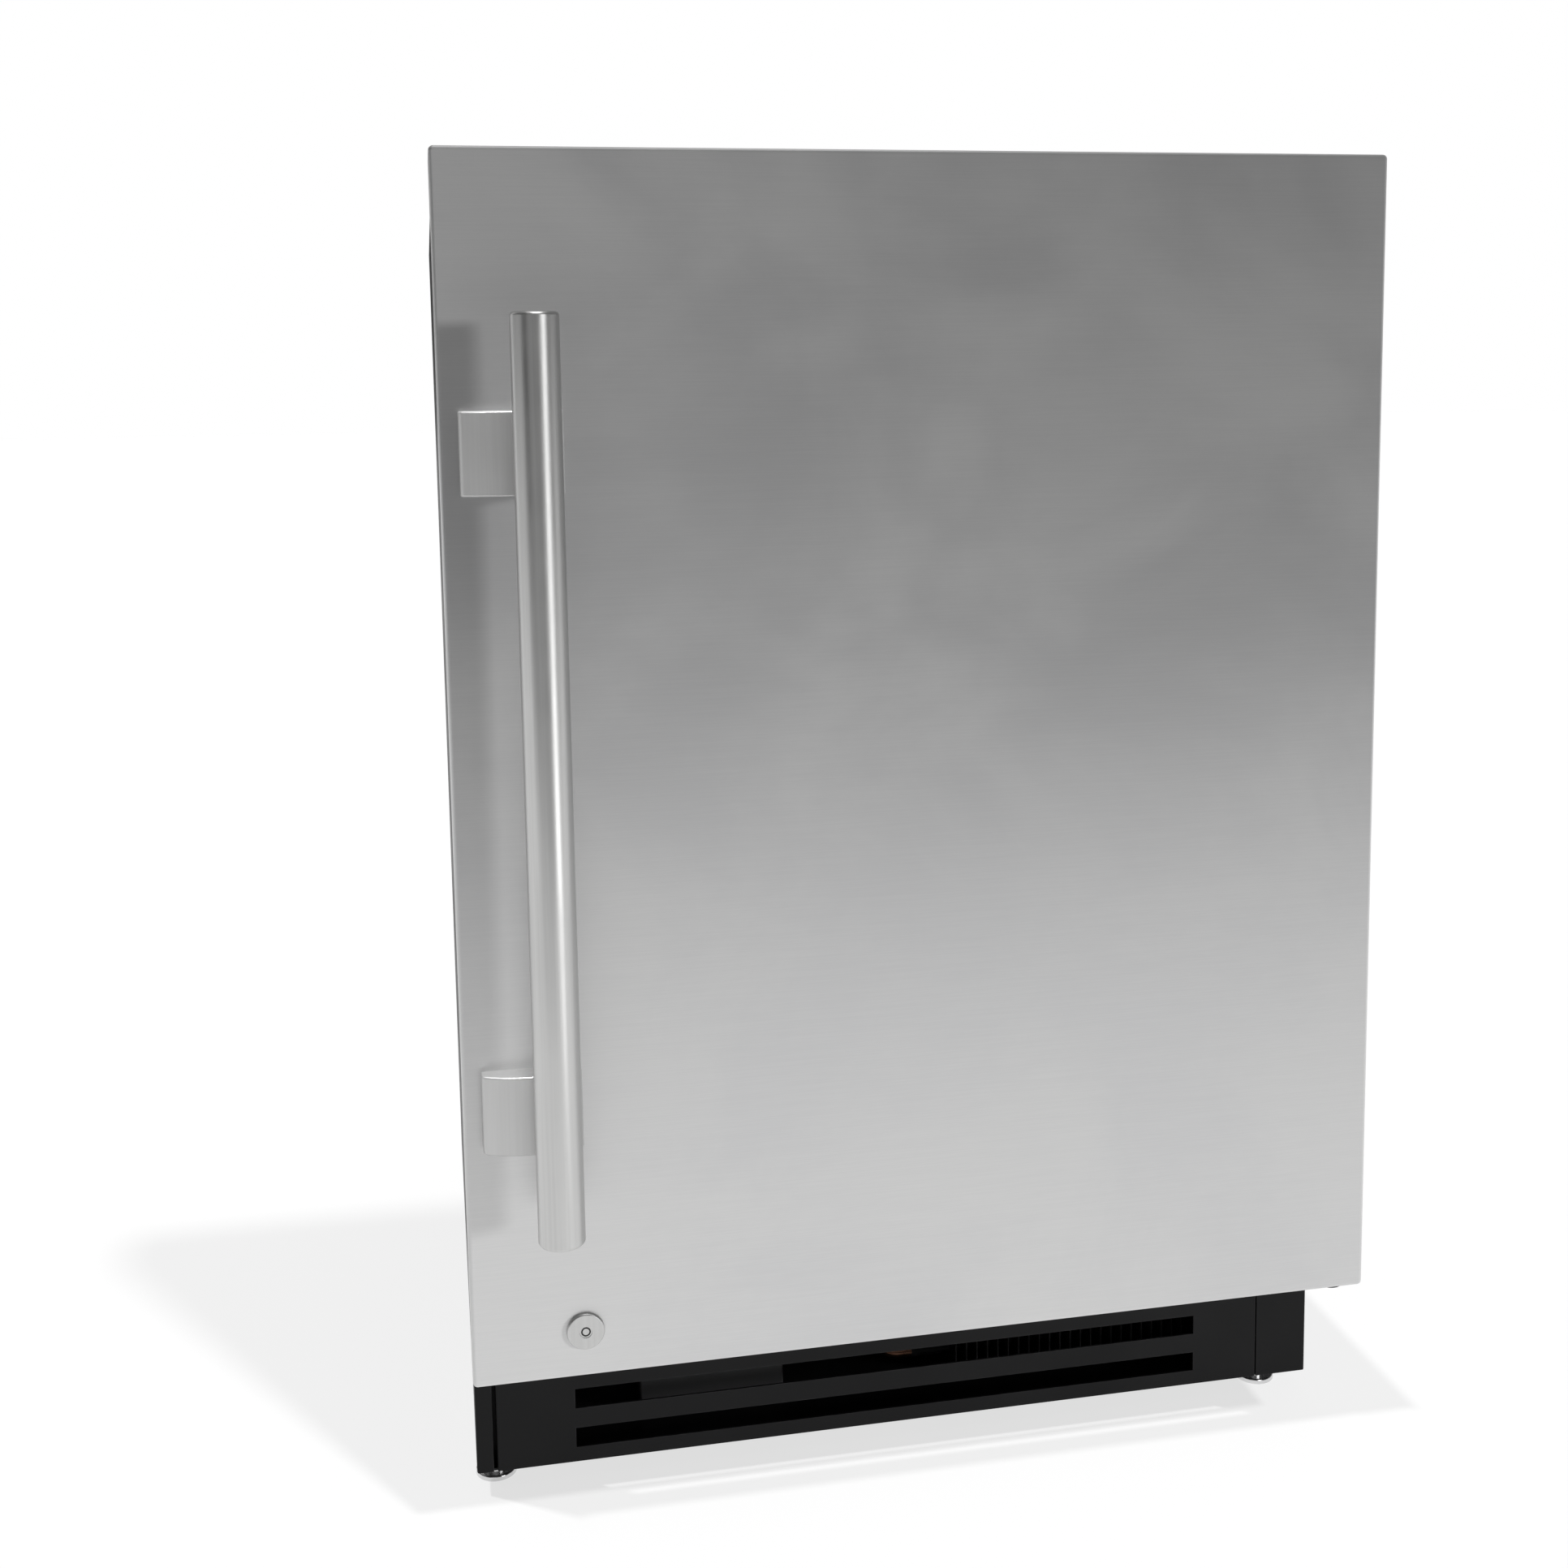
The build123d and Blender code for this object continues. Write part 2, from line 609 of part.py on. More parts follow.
def power_inlet():
    """An appliance inlet socket: flange, shell and the recess that the plug enters."""
    sheet_end = REAR_COVER_FACE + FRAME_SHEET
    flange_end = sheet_end + INLET_WALL
    flange = inlet_block(5.0, sheet_end, flange_end)
    flange = fillet(flange.edges().filter_by(Axis.Y), 3)
    return inlet_block(INLET_WALL, INLET_END, flange_end) + flange - inlet_block(0, INLET_FLOOR, flange_end)


def counter_brackets():
    """Two Z-shaped tabs on the roof, each with a hole for a screw into the worktop."""
    tabs = []
    for x in TAB_XS:
        left = x - TAB_HALF
        right = x + TAB_HALF
        tab = block(left, right, 100, 140, CABINET_TOP, CABINET_TOP + TAB_SHEET)
        tab += block(left, right, 100, 100 + TAB_SHEET, CABINET_TOP, TAB_TOP)
        tab += block(left, right, 80, 100 + TAB_SHEET, TAB_TOP - TAB_SHEET, TAB_TOP)
        tab -= upright(x, TAB_HOLE_D, TAB_HOLE_RADIUS, TAB_TOP - TAB_SHEET, TAB_TOP)
        tabs.append(tab - cabinet_screws())
    return group(tabs)


# ---------------------------------------------------------------- screws

def down_screw(x, d, z):
    """A screw driven downwards, its head on the level z."""
    return upright(x, d, SCREW_HEAD_RADIUS, z, z + SCREW_HEAD) + upright(x, d, SCREW_RADIUS, z - SCREW_LENGTH, z)


def back_screw(x, z, d):
    """A screw driven from the front, its head on the depth d."""
    head = along_depth(x, z, SCREW_HEAD_RADIUS, d - SCREW_HEAD, d)
    return head + along_depth(x, z, SCREW_RADIUS, d, d + SCREW_LENGTH)


def rear_screw(x, z, d):
    """A screw driven from the back, its head on the depth d."""
    head = along_depth(x, z, SCREW_HEAD_RADIUS, d, d + SCREW_HEAD)
    return head + along_depth(x, z, SCREW_RADIUS, d - SCREW_LENGTH / 2, d)


def cabinet_screw_list():
    plate = CABINET_TOP + HINGE_PLATE
    for x, d in ((245.0, 95.0), (245.0, 135.0), (288.0, 115.0)):
        yield down_screw(x, d, plate)
    for x in TAB_XS:
        yield down_screw(x, TAB_SCREW_D, CABINET_TOP + TAB_SHEET)
    for z in (136.0, 154.0):
        yield back_screw(283.5, z, CABINET_FACE - HINGE_PLATE)
    for x in (LOCK_X - 10, LOCK_X + 10):
        yield back_screw(x, 141, CABINET_FACE - STRIKE_WALL)
    for x in (-294.0, 294.0):
        for z in (60.0, 240.0):
            yield rear_screw(x, z, REAR_COVER_FACE + FRAME_SHEET)


def cabinet_screws():
    return group(cabinet_screw_list())


# ---------------------------------------------------------------- base

def base_rail(side, return_edge, cover_edge):
    """A folded side rail: side plate, bottom flange, the return that ends the kick front and a tongue behind
    the joint with the kick plate."""
    outer = side * SIDE
    plate = sorted((outer, outer - side * RAIL_SHEET))
    flange = sorted((outer, outer - side * RAIL_FLANGE))
    front = sorted((outer, return_edge))
    inner = KICK_FACE + RAIL_SHEET
    rail = block(*plate, KICK_FACE, CABINET_BACK, BASE_BOTTOM, CABINET_BOTTOM)
    rail += block(*flange, inner, CABINET_BACK, BASE_BOTTOM, BASE_BOTTOM + RAIL_SHEET)
    rail += block(*front, KICK_FACE, inner, BASE_BOTTOM, RAIL_FRONT_TOP)
    upright_fold = rail.edges().filter_by(Axis.Z).sort_by(Axis.X)[::side][-2:].sort_by(Axis.Y)[0]
    bottom_fold = rail.edges().filter_by(Axis.Y).sort_by(Axis.X)[::side][-2:].sort_by(Axis.Z)[0]
    rail = fillet([upright_fold, bottom_fold], FOLD_RADIUS)
    tongue = sorted((outer, cover_edge))
    rail += block(*tongue, TONGUE_FACE, TONGUE_FACE + FRAME_SHEET, BASE_BOTTOM + RAIL_SHEET, KICK_TOP)
    for x, d in LEGS.values():
        rail -= upright(x, d, STUD_RADIUS + 1, 0, STUD_TOP)
    return rail


def kick_plate():
    """The front grille: long air slots, and its top and side edges folded back over the rails."""
    inner = KICK_FACE + RAIL_SHEET
    back = inner + KICK_RETURN
    over_flange = BASE_BOTTOM + RAIL_SHEET
    shell = block(KICK_LEFT, KICK_RIGHT, KICK_FACE, inner, BASE_BOTTOM, KICK_TOP)
    shell += block(KICK_LEFT, KICK_RIGHT, inner, back, over_flange, KICK_TOP)
    shell -= block(KICK_LEFT + RAIL_SHEET, KICK_RIGHT - RAIL_SHEET, inner, back, over_flange,
                   KICK_TOP - RAIL_SHEET)
    face_edges = shell.faces().sort_by(Axis.Y)[0].edges()
    shell = fillet(face_edges.sort_by(Axis.Z)[1:], FOLD_RADIUS)
    for z in SLOT_BOTTOMS:
        shell -= block(SLOT_LEFT, SLOT_RIGHT, KICK_FACE, inner, z, z + SLOT_HEIGHT)
    return shell


def base_tray():
    """The sheet that lies on the rails' flanges, with a lip that reaches the kick plate between its returns."""
    half = SIDE - RAIL_SHEET - 1
    clear = RAIL_SHEET + 0.5
    low = BASE_BOTTOM + RAIL_SHEET
    tray = block(-half, half, TRAY_FRONT, TRAY_BACK, low, TRAY_TOP)
    tray += block(KICK_LEFT + clear, KICK_RIGHT - clear, KICK_FACE + RAIL_SHEET, TRAY_FRONT, low, TRAY_TOP)
    for x, d in LEGS.values():
        tray -= upright(x, d, 12, 0, TRAY_TOP)
    return tray


def leg_nuts():
    low = BASE_BOTTOM + RAIL_SHEET
    bore = STUD_RADIUS + RUNNING_GAP
    return group([hex_nut(x, d, low, low + NUT_HEIGHT, bore) for x, d in LEGS.values()])


def levelling_leg(place):
    x, d = LEGS[place]
    foot = upright(x, d, FOOT_RADIUS, 0, FOOT_THICK)
    foot = fillet(foot.faces().sort_by(Axis.Z)[-1].edges(), 1.2)
    collar = upright(x, d, FOOT_COLLAR_RADIUS, FOOT_THICK, FOOT_COLLAR_TOP)
    collar = chamfer(collar.faces().sort_by(Axis.Z)[-1].edges(), 1)
    stud = upright(x, d, STUD_RADIUS, FOOT_COLLAR_TOP, STUD_TOP)
    return foot + collar + stud


# ---------------------------------------------------------------- machine compartment

def finned_coil(span, d, rows, bend, fin_depth, margin):
    """A serpentine tube through a stack of thin fins."""
    x0, x1 = span
    route = []
    for index, z in enumerate(rows):
        ends = (x0, x1) if index % 2 == 0 else (x1, x0)
        route += [(x, d, z) for x in ends]
    route[0] = (x0 - bend, d, rows[0])
    last_x = route[-1][0]
    route[-1] = (last_x + (bend if last_x == x1 else -bend), d, rows[-1])
    solids = [tube(route, bend, COIL_TUBE)]
    low = rows[0] - margin
    high = rows[-1] + margin
    blank = block(x0, x0 + FIN, d - fin_depth / 2, d + fin_depth / 2, low, high)
    for z in rows:
        blank -= across(d, z, COIL_TUBE + 0.3, x0 - 1, x0 + FIN + 1)
    first = bend + 8
    count = int((x1 - x0 - 2 * first) // FIN_PITCH)
    solids += [Pos(first + n * FIN_PITCH, 0, 0) * blank for n in range(count + 1)]
    return group(solids)


def condenser_coil():
    margin = CONDENSER_ROWS[0] - TRAY_TOP
    return finned_coil(CONDENSER_X, CONDENSER_D, CONDENSER_ROWS, COIL_BEND, 40, margin)


def fan_wheel(place, tip, d0, d1, shaft_end):
    """A hub with pitched vanes and the shaft that turns in the motor."""
    x, z = place
    hub = 12.0
    vanes = 5
    middle = Pos(x, DOOR_FRONT + (d0 + d1) / 2, z)
    wheel = along_depth(x, z, hub, d0, d1) + along_depth(x, z, 2, d1, shaft_end)
    for n in range(vanes):
        vane = Pos((hub + tip) / 2, 0, 0) * Rot(28, 0, 0) * Box(tip - hub + 6, 1.6, 26)
        wheel += middle * Rot(0, 360 / vanes * n, 0) * vane
    limit = along_depth(x, z, tip, d0 - 4, shaft_end)
    return wheel & limit


def fan_motor(place, radius, d0, d1, base_d1, base_z0, base_z1):
    """A round motor on its own bracket, bored for the fan's shaft."""
    x, z = place
    body = along_depth(x, z, radius, d0, d1)
    body = fillet(body.edges().filter_by(GeomType.CIRCLE), 2)
    body += block(x - 12, x + 12, d1 - 12, base_d1, base_z0, base_z1)
    return body - along_depth(x, z, 2 + RUNNING_GAP, d0, d0 + 12)


def condenser_fan_blade():
    return fan_wheel(CONDENSER_FAN, CONDENSER_FAN_TIP, 178, 190, 204)


def condenser_fan_motor():
    return fan_motor(CONDENSER_FAN, 22, 194, 234, 234, TRAY_TOP, 60)


def condenser_fan_shroud():
    x, z = CONDENSER_FAN
    x0, x1 = CONDENSER_X
    shroud = block(x0, x1, 168, 170, TRAY_TOP, 114)
    collar = along_depth(x, z, CONDENSER_FAN_TIP + 5, 168, 188)
    return shroud + collar - along_depth(x, z, CONDENSER_FAN_TIP + 3, 167, 189)


def compressor():
    """A welded two-part can with a seam, a foot plate and a terminal box."""
    x, d = COMPRESSOR
    shell = upright(x, d, COMPRESSOR_RADIUS, COMPRESSOR_BOTTOM, COMPRESSOR_TOP)
    shell = fillet(shell.edges().filter_by(GeomType.CIRCLE), 30)
    seam = (COMPRESSOR_BOTTOM + COMPRESSOR_TOP) / 2
    shell += upright(x, d, COMPRESSOR_RADIUS + 3, seam - 3, seam + 3)
    shell += block(x - 80, x + 80, d - 50, d + 50, COMPRESSOR_FOOT_BOTTOM, COMPRESSOR_BOTTOM + 2)
    shell += block(x - 25, x + 25, d - COMPRESSOR_RADIUS - 14, d - 50, 60, 104)
    for foot_x, foot_d in grommet_places():
        shell -= upright(foot_x, foot_d, GROMMET_SHANK, COMPRESSOR_FOOT_BOTTOM, COMPRESSOR_BOTTOM + 4)
    return shell - tube(SUCTION_ROUTE, LINE_BEND, LINE_RADIUS) - tube(DISCHARGE_ROUTE, LINE_BEND, LINE_RADIUS)


def grommet_places():
    """Centres of the compressor's four rubber feet."""
    x, d = COMPRESSOR
    return [(x + dx, d + dd) for dx in (-68, 68) for dd in (-40, 40)]


def compressor_grommets():
    solids = []
    for x, d in grommet_places():
        foot = upright(x, d, GROMMET_RADIUS, TRAY_TOP, COMPRESSOR_FOOT_BOTTOM)
        solids.append(foot + upright(x, d, GROMMET_SHANK, COMPRESSOR_FOOT_BOTTOM, COMPRESSOR_BOTTOM + 6))
    return group(solids)


def filter_drier():
    (x, d0, z), (_, d1, _) = LIQUID_ROUTE[-1], CAPILLARY_ROUTE[0]
    body = along_depth(x, z, DRIER_RADIUS, d0, d1)
    return fillet(body.edges().filter_by(GeomType.CIRCLE), 5)


def refrigerant_lines():
    return group([
        tube(SUCTION_ROUTE, LINE_BEND, LINE_RADIUS),
        tube(DISCHARGE_ROUTE, LINE_BEND, LINE_RADIUS),
        tube(LIQUID_ROUTE, LINE_BEND, LINE_RADIUS),
        tube(CAPILLARY_ROUTE, CAPILLARY_BEND, CAPILLARY_RADIUS),
    ])


def drain_pan():
    (x0, x1), (d0, d1) = DRAIN_PAN_X, DRAIN_PAN_D
    wall = DRAIN_PAN_WALL
    tub = block(x0, x1, d0, d1, TRAY_TOP, DRAIN_PAN_TOP)
    tub = fillet(tub.edges().filter_by(Axis.Z), 8)
    return tub - block(x0 + wall, x1 - wall, d0 + wall, d1 - wall, TRAY_TOP + wall, DRAIN_PAN_TOP)


def controller_box():
    box = block(*CONTROLLER_X, *CONTROLLER_D, TRAY_TOP, CONTROLLER_TOP)
    return fillet(box.edges(), 2)


# ---------------------------------------------------------------- inside the food compartment

def evaporator_coil():
    return finned_coil(EVAPORATOR_X, EVAPORATOR_D, EVAPORATOR_ROWS, EVAPORATOR_BEND, 30, 12)


def evaporator_cover():
    """A box open at the back, with a round fan grille and air slots below it."""
    cover = block(-COVER_HALF, COVER_HALF, COVER_FACE, CAVITY_BACK, COVER_BOTTOM, COVER_TOP)
    front = cover.faces().sort_by(Axis.Y)[0]
    cover = fillet(front.edges(), 6)
    inner = COVER_HALF - COVER_WALL
    cover -= block(-inner, inner, COVER_FACE + COVER_WALL, CAVITY_BACK, COVER_BOTTOM + COVER_WALL,
                   COVER_TOP - COVER_WALL)
    x, z = EVAPORATOR_FAN
    wall_end = COVER_FACE + COVER_WALL
    grille = Part() + [
        along_depth(x, z, outer, COVER_FACE, wall_end) - along_depth(x, z, outer - 7, COVER_FACE, wall_end)
        for outer in (20, 32, 44, 55)
    ]
    spokes = block(x - 2, x + 2, COVER_FACE, wall_end, z - 55, z + 55)
    spokes += block(x - 55, x + 55, COVER_FACE, wall_end, z - 2, z + 2)
    cover -= grille - spokes
    for column in (-150.0, 150.0):
        for row in range(8):
            low = 500.0 + row * 16
            cover -= block(column - 55, column + 55, COVER_FACE, wall_end, low, low + 6)
    return cover


def evaporator_fan_blade():
    return fan_wheel(EVAPORATOR_FAN, EVAPORATOR_FAN_TIP, 528, 538, 552)


def evaporator_fan_motor():
    x, z = EVAPORATOR_FAN
    return fan_motor(EVAPORATOR_FAN, 20, 544, 568, CAVITY_BACK, z - 30, z + 30)


def wire_shelf(level):
    """A welded wire shelf: a closed frame, two stiffening wires and wires from front to back."""
    reach = SHELF_HALF - FRAME_WIRE
    front = SHELF_FRONT + FRAME_WIRE
    back = SHELF_BACK - FRAME_WIRE
    z = level + FRAME_WIRE
    middle = Pos(0, DOOR_FRONT + (front + back) / 2, z)
    path = middle * RectangleRounded(2 * reach, back - front, SHELF_CORNER).wire()
    shelf = sweep(Plane(origin=path @ 0, z_dir=path % 0) * Circle(FRAME_WIRE), path=path)
    spacing = (back - front) / 3
    for n in (1, 2):
        shelf += across(front + n * spacing, z, STIFFENER_WIRE, -reach, reach)
    wires = int(2 * (reach - SHELF_CORNER) // GRID_PITCH)
    first = -(wires - 1) * GRID_PITCH / 2
    grid_z = z + FRAME_WIRE + GRID_WIRE - WELD_DEPTH
    for n in range(wires):
        shelf += along_depth(first + n * GRID_PITCH, grid_z, GRID_WIRE, front, back)
    return shelf


def pilaster_span(d):
    """Lowest and highest point of a shelf strip; the rear ones stand on the step."""
    return (STEP_TOP + 8 if d > STEP_FACE else CAVITY_BOTTOM + 20), CAVITY_TOP - 20


def shelf_pilasters():
    """Four slotted strips on the side walls."""
    strips = []
    for d in PILASTER_DEPTHS:
        low, high = pilaster_span(d)
        height = high - low
        slots = int((height - 20) // 25)
        face = Rectangle(PILASTER_WIDTH, height) - GridLocations(0, 25, 1, slots) * Rectangle(4, 12)
        strip = extrude(face, PILASTER_THICK)
        for side in (-1, 1):
            x = side * CAVITY_HALF - (PILASTER_THICK if side > 0 else 0)
            strips.append(Pos(x, DOOR_FRONT + d, (low + high) / 2) * Rot(0, 90, 0) * Rot(0, 0, 90) * strip)
    return group(strips)


def shelf_clips():
    """The ledges that each shelf rests on, one on every strip."""
    clips = []
    for level in SHELF_LEVELS.values():
        for d in PILASTER_DEPTHS:
            for side in (-1, 1):
                outer = side * (CAVITY_HALF - PILASTER_THICK)
                x0, x1 = sorted((outer, outer - side * CLIP_REACH))
                ledge = block(x0, x1, d - CLIP_WIDTH / 2, d + CLIP_WIDTH / 2, level - 8, level)
                clips.append(chamfer(ledge.faces().sort_by(Axis.Z)[0].edges(), 2))
    return group(clips)


def light_bar():
    bar = block(-LIGHT_HALF, LIGHT_HALF, *LIGHT_DEPTHS, CAVITY_TOP - LIGHT_THICK, CAVITY_TOP)
    return fillet(bar.faces().sort_by(Axis.Z)[0].edges(), 3)


def display_window():
    half = DISPLAY_HEIGHT / 2
    return block(-DISPLAY_HALF, DISPLAY_HALF, CONTROL_FACE - 0.5, CONTROL_FACE + 1.5, BUTTON_Z - half,
                 BUTTON_Z + half)


def button_block(name, grow, d0, d1):
    """The space of a push button, grown by the gap around it."""
    half = BUTTON_SIZE / 2 + grow
    x = BUTTON_XS[name]
    return block(x - half, x + half, d0, d1, BUTTON_Z - half, BUTTON_Z + half)


def control_housing():
    housing = block(-CONTROL_HALF, CONTROL_HALF, CONTROL_FACE, CONTROL_BACK, CONTROL_BOTTOM, CAVITY_TOP)
    housing = fillet(housing.faces().sort_by(Axis.Z)[0].edges(), 3)
    housing -= display_window()
    for name in BUTTON_XS:
        housing -= button_block(name, BUTTON_GAP, CONTROL_FACE, CONTROL_FACE + 7.5 + BUTTON_TRAVEL)
    return housing


def control_button(name):
    button = button_block(name, 0, CONTROL_FACE - 2, CONTROL_FACE + 6)
    return fillet(button.faces().sort_by(Axis.Y)[0].edges(), 0.8)


# ---------------------------------------------------------------- nodes

NODES = {
    "door_skin": door_skin,
    "door_foam": door_foam,
    "door_liner": door_liner,
    "door_gasket": door_gasket,
    "handle_bar": handle_bar,
    "handle_screws": lambda: group(handle_screw_list()),
    "lock_body": lock_body,
    "lock_nut": lock_nut,
    "lock_plug": lock_plug,
    "lock_cam": lock_cam,
    "lock_cam_screw": lock_cam_screw,
    "strike_plate": strike_plate,
    "hinge_bushings": hinge_bushings,
    "hinge_pins": hinge_pins,
    "hinge_plate_top": hinge_plate_top,
    "hinge_plate_bottom": hinge_plate_bottom,
    "cabinet_wrapper": cabinet_wrapper,
    "front_frame": front_frame,
    "inner_liner": inner_liner,
    "cabinet_foam": cabinet_foam,
    "belly_pan": belly_pan,
    "back_panel": back_panel,
    "rear_cover": rear_cover,
    "power_inlet": power_inlet,
    "counter_brackets": counter_brackets,
    "cabinet_screws": cabinet_screws,
    "base_rail_left": lambda: base_rail(-1, LEFT_RETURN, LEFT_TONGUE),
    "base_rail_right": lambda: base_rail(1, RIGHT_RETURN, RIGHT_TONGUE),
    "kick_plate": kick_plate,
    "base_tray": base_tray,
    "leg_nuts": leg_nuts,
    "condenser_coil": condenser_coil,
    "condenser_fan_blade": condenser_fan_blade,
    "condenser_fan_motor": condenser_fan_motor,
    "condenser_fan_shroud": condenser_fan_shroud,
    "compressor": compressor,
    "compressor_grommets": compressor_grommets,
    "filter_drier": filter_drier,
    "refrigerant_lines": refrigerant_lines,
    "drain_pan": drain_pan,
    "controller_box": controller_box,
    "evaporator_coil": evaporator_coil,
    "evaporator_cover": evaporator_cover,
    "evaporator_fan_blade": evaporator_fan_blade,
    "evaporator_fan_motor": evaporator_fan_motor,
    "shelf_pilasters": shelf_pilasters,
    "shelf_clips": shelf_clips,
    "light_bar": light_bar,
    "control_housing": control_housing,
    "control_display": display_window,
}
for bracket, height in BRACKET_CENTRES.items():
    NODES[f"handle_bracket_{bracket}"] = lambda height=height: handle_bracket(height)
for leg in LEGS:
    NODES[f"leg_{leg}"] = lambda leg=leg: levelling_leg(leg)
for shelf_name, shelf_level in SHELF_LEVELS.items():
    NODES[f"shelf_{shelf_name}"] = lambda level=shelf_level: wire_shelf(level)
for button_name in BUTTON_XS:
    NODES[f"button_{button_name}"] = lambda name=button_name: control_button(name)


os.makedirs("parts", exist_ok=True)
for node, make in NODES.items():
    export_step(make(), f"parts/{node}.step")
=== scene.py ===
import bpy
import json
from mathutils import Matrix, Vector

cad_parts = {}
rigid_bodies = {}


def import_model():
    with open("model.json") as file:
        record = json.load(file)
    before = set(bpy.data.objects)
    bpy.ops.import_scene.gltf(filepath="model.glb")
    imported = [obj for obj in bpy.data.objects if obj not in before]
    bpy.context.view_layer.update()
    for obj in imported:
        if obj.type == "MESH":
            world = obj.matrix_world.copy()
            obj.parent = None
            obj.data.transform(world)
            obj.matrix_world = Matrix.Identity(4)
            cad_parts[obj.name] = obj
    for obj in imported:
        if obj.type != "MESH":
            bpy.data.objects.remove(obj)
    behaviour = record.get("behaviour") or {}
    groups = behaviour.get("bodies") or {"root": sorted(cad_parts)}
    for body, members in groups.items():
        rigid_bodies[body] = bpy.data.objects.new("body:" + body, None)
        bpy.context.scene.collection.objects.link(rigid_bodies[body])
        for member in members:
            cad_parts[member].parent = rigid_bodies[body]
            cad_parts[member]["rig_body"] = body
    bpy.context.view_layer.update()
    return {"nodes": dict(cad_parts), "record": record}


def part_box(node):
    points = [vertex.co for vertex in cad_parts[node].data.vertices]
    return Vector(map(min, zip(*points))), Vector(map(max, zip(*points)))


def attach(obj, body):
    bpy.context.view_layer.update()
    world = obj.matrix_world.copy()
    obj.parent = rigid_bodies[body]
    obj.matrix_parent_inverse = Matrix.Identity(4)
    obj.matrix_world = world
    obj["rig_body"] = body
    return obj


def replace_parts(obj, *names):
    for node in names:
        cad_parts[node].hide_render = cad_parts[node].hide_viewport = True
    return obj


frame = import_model()

import json
import math

import bmesh
import bpy
from mathutils import Matrix, Vector

# Undercounter refrigerator: finishes, small pieces, a plain studio and the camera.
# Metres, in the frame of the CAD model: origin on the floor, front towards -Y, +Z up.

DOOR_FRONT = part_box("door_skin")[0].y
DOOR_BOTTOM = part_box("door_skin")[0].z

# ---------------------------------------------------------------- materials

GRAIN_SQUASH = 0.012
X_AXIS, Z_AXIS = 0, 2


class Nodes:
    """Short ways to add nodes to a node tree."""

    tree = None

    def give(self, socket, value):
        """Links a socket to another one, or sets it to a value."""
        if isinstance(value, bpy.types.NodeSocket):
            self.tree.links.new(value, socket)
        else:
            socket.default_value = value

    def add(self, kind, inputs, **settings):
        """A new node with its settings, and its inputs by name or number."""
        node = self.tree.nodes.new(kind)
        for key, value in settings.items():
            setattr(node, key, value)
        for key, value in inputs.items():
            self.give(node.inputs[key], value)
        return node

    def maths(self, operation, *values):
        return self.add("ShaderNodeMath", dict(enumerate(values)), operation=operation).outputs[0]

    def remap(self, value, low, high, to_low, to_high):
        """A value moved from one range to another, with soft ends."""
        inputs = {"Value": value, "From Min": low, "From Max": high, "To Min": to_low, "To Max": to_high}
        return self.add("ShaderNodeMapRange", inputs, interpolation_type="SMOOTHSTEP").outputs[0]


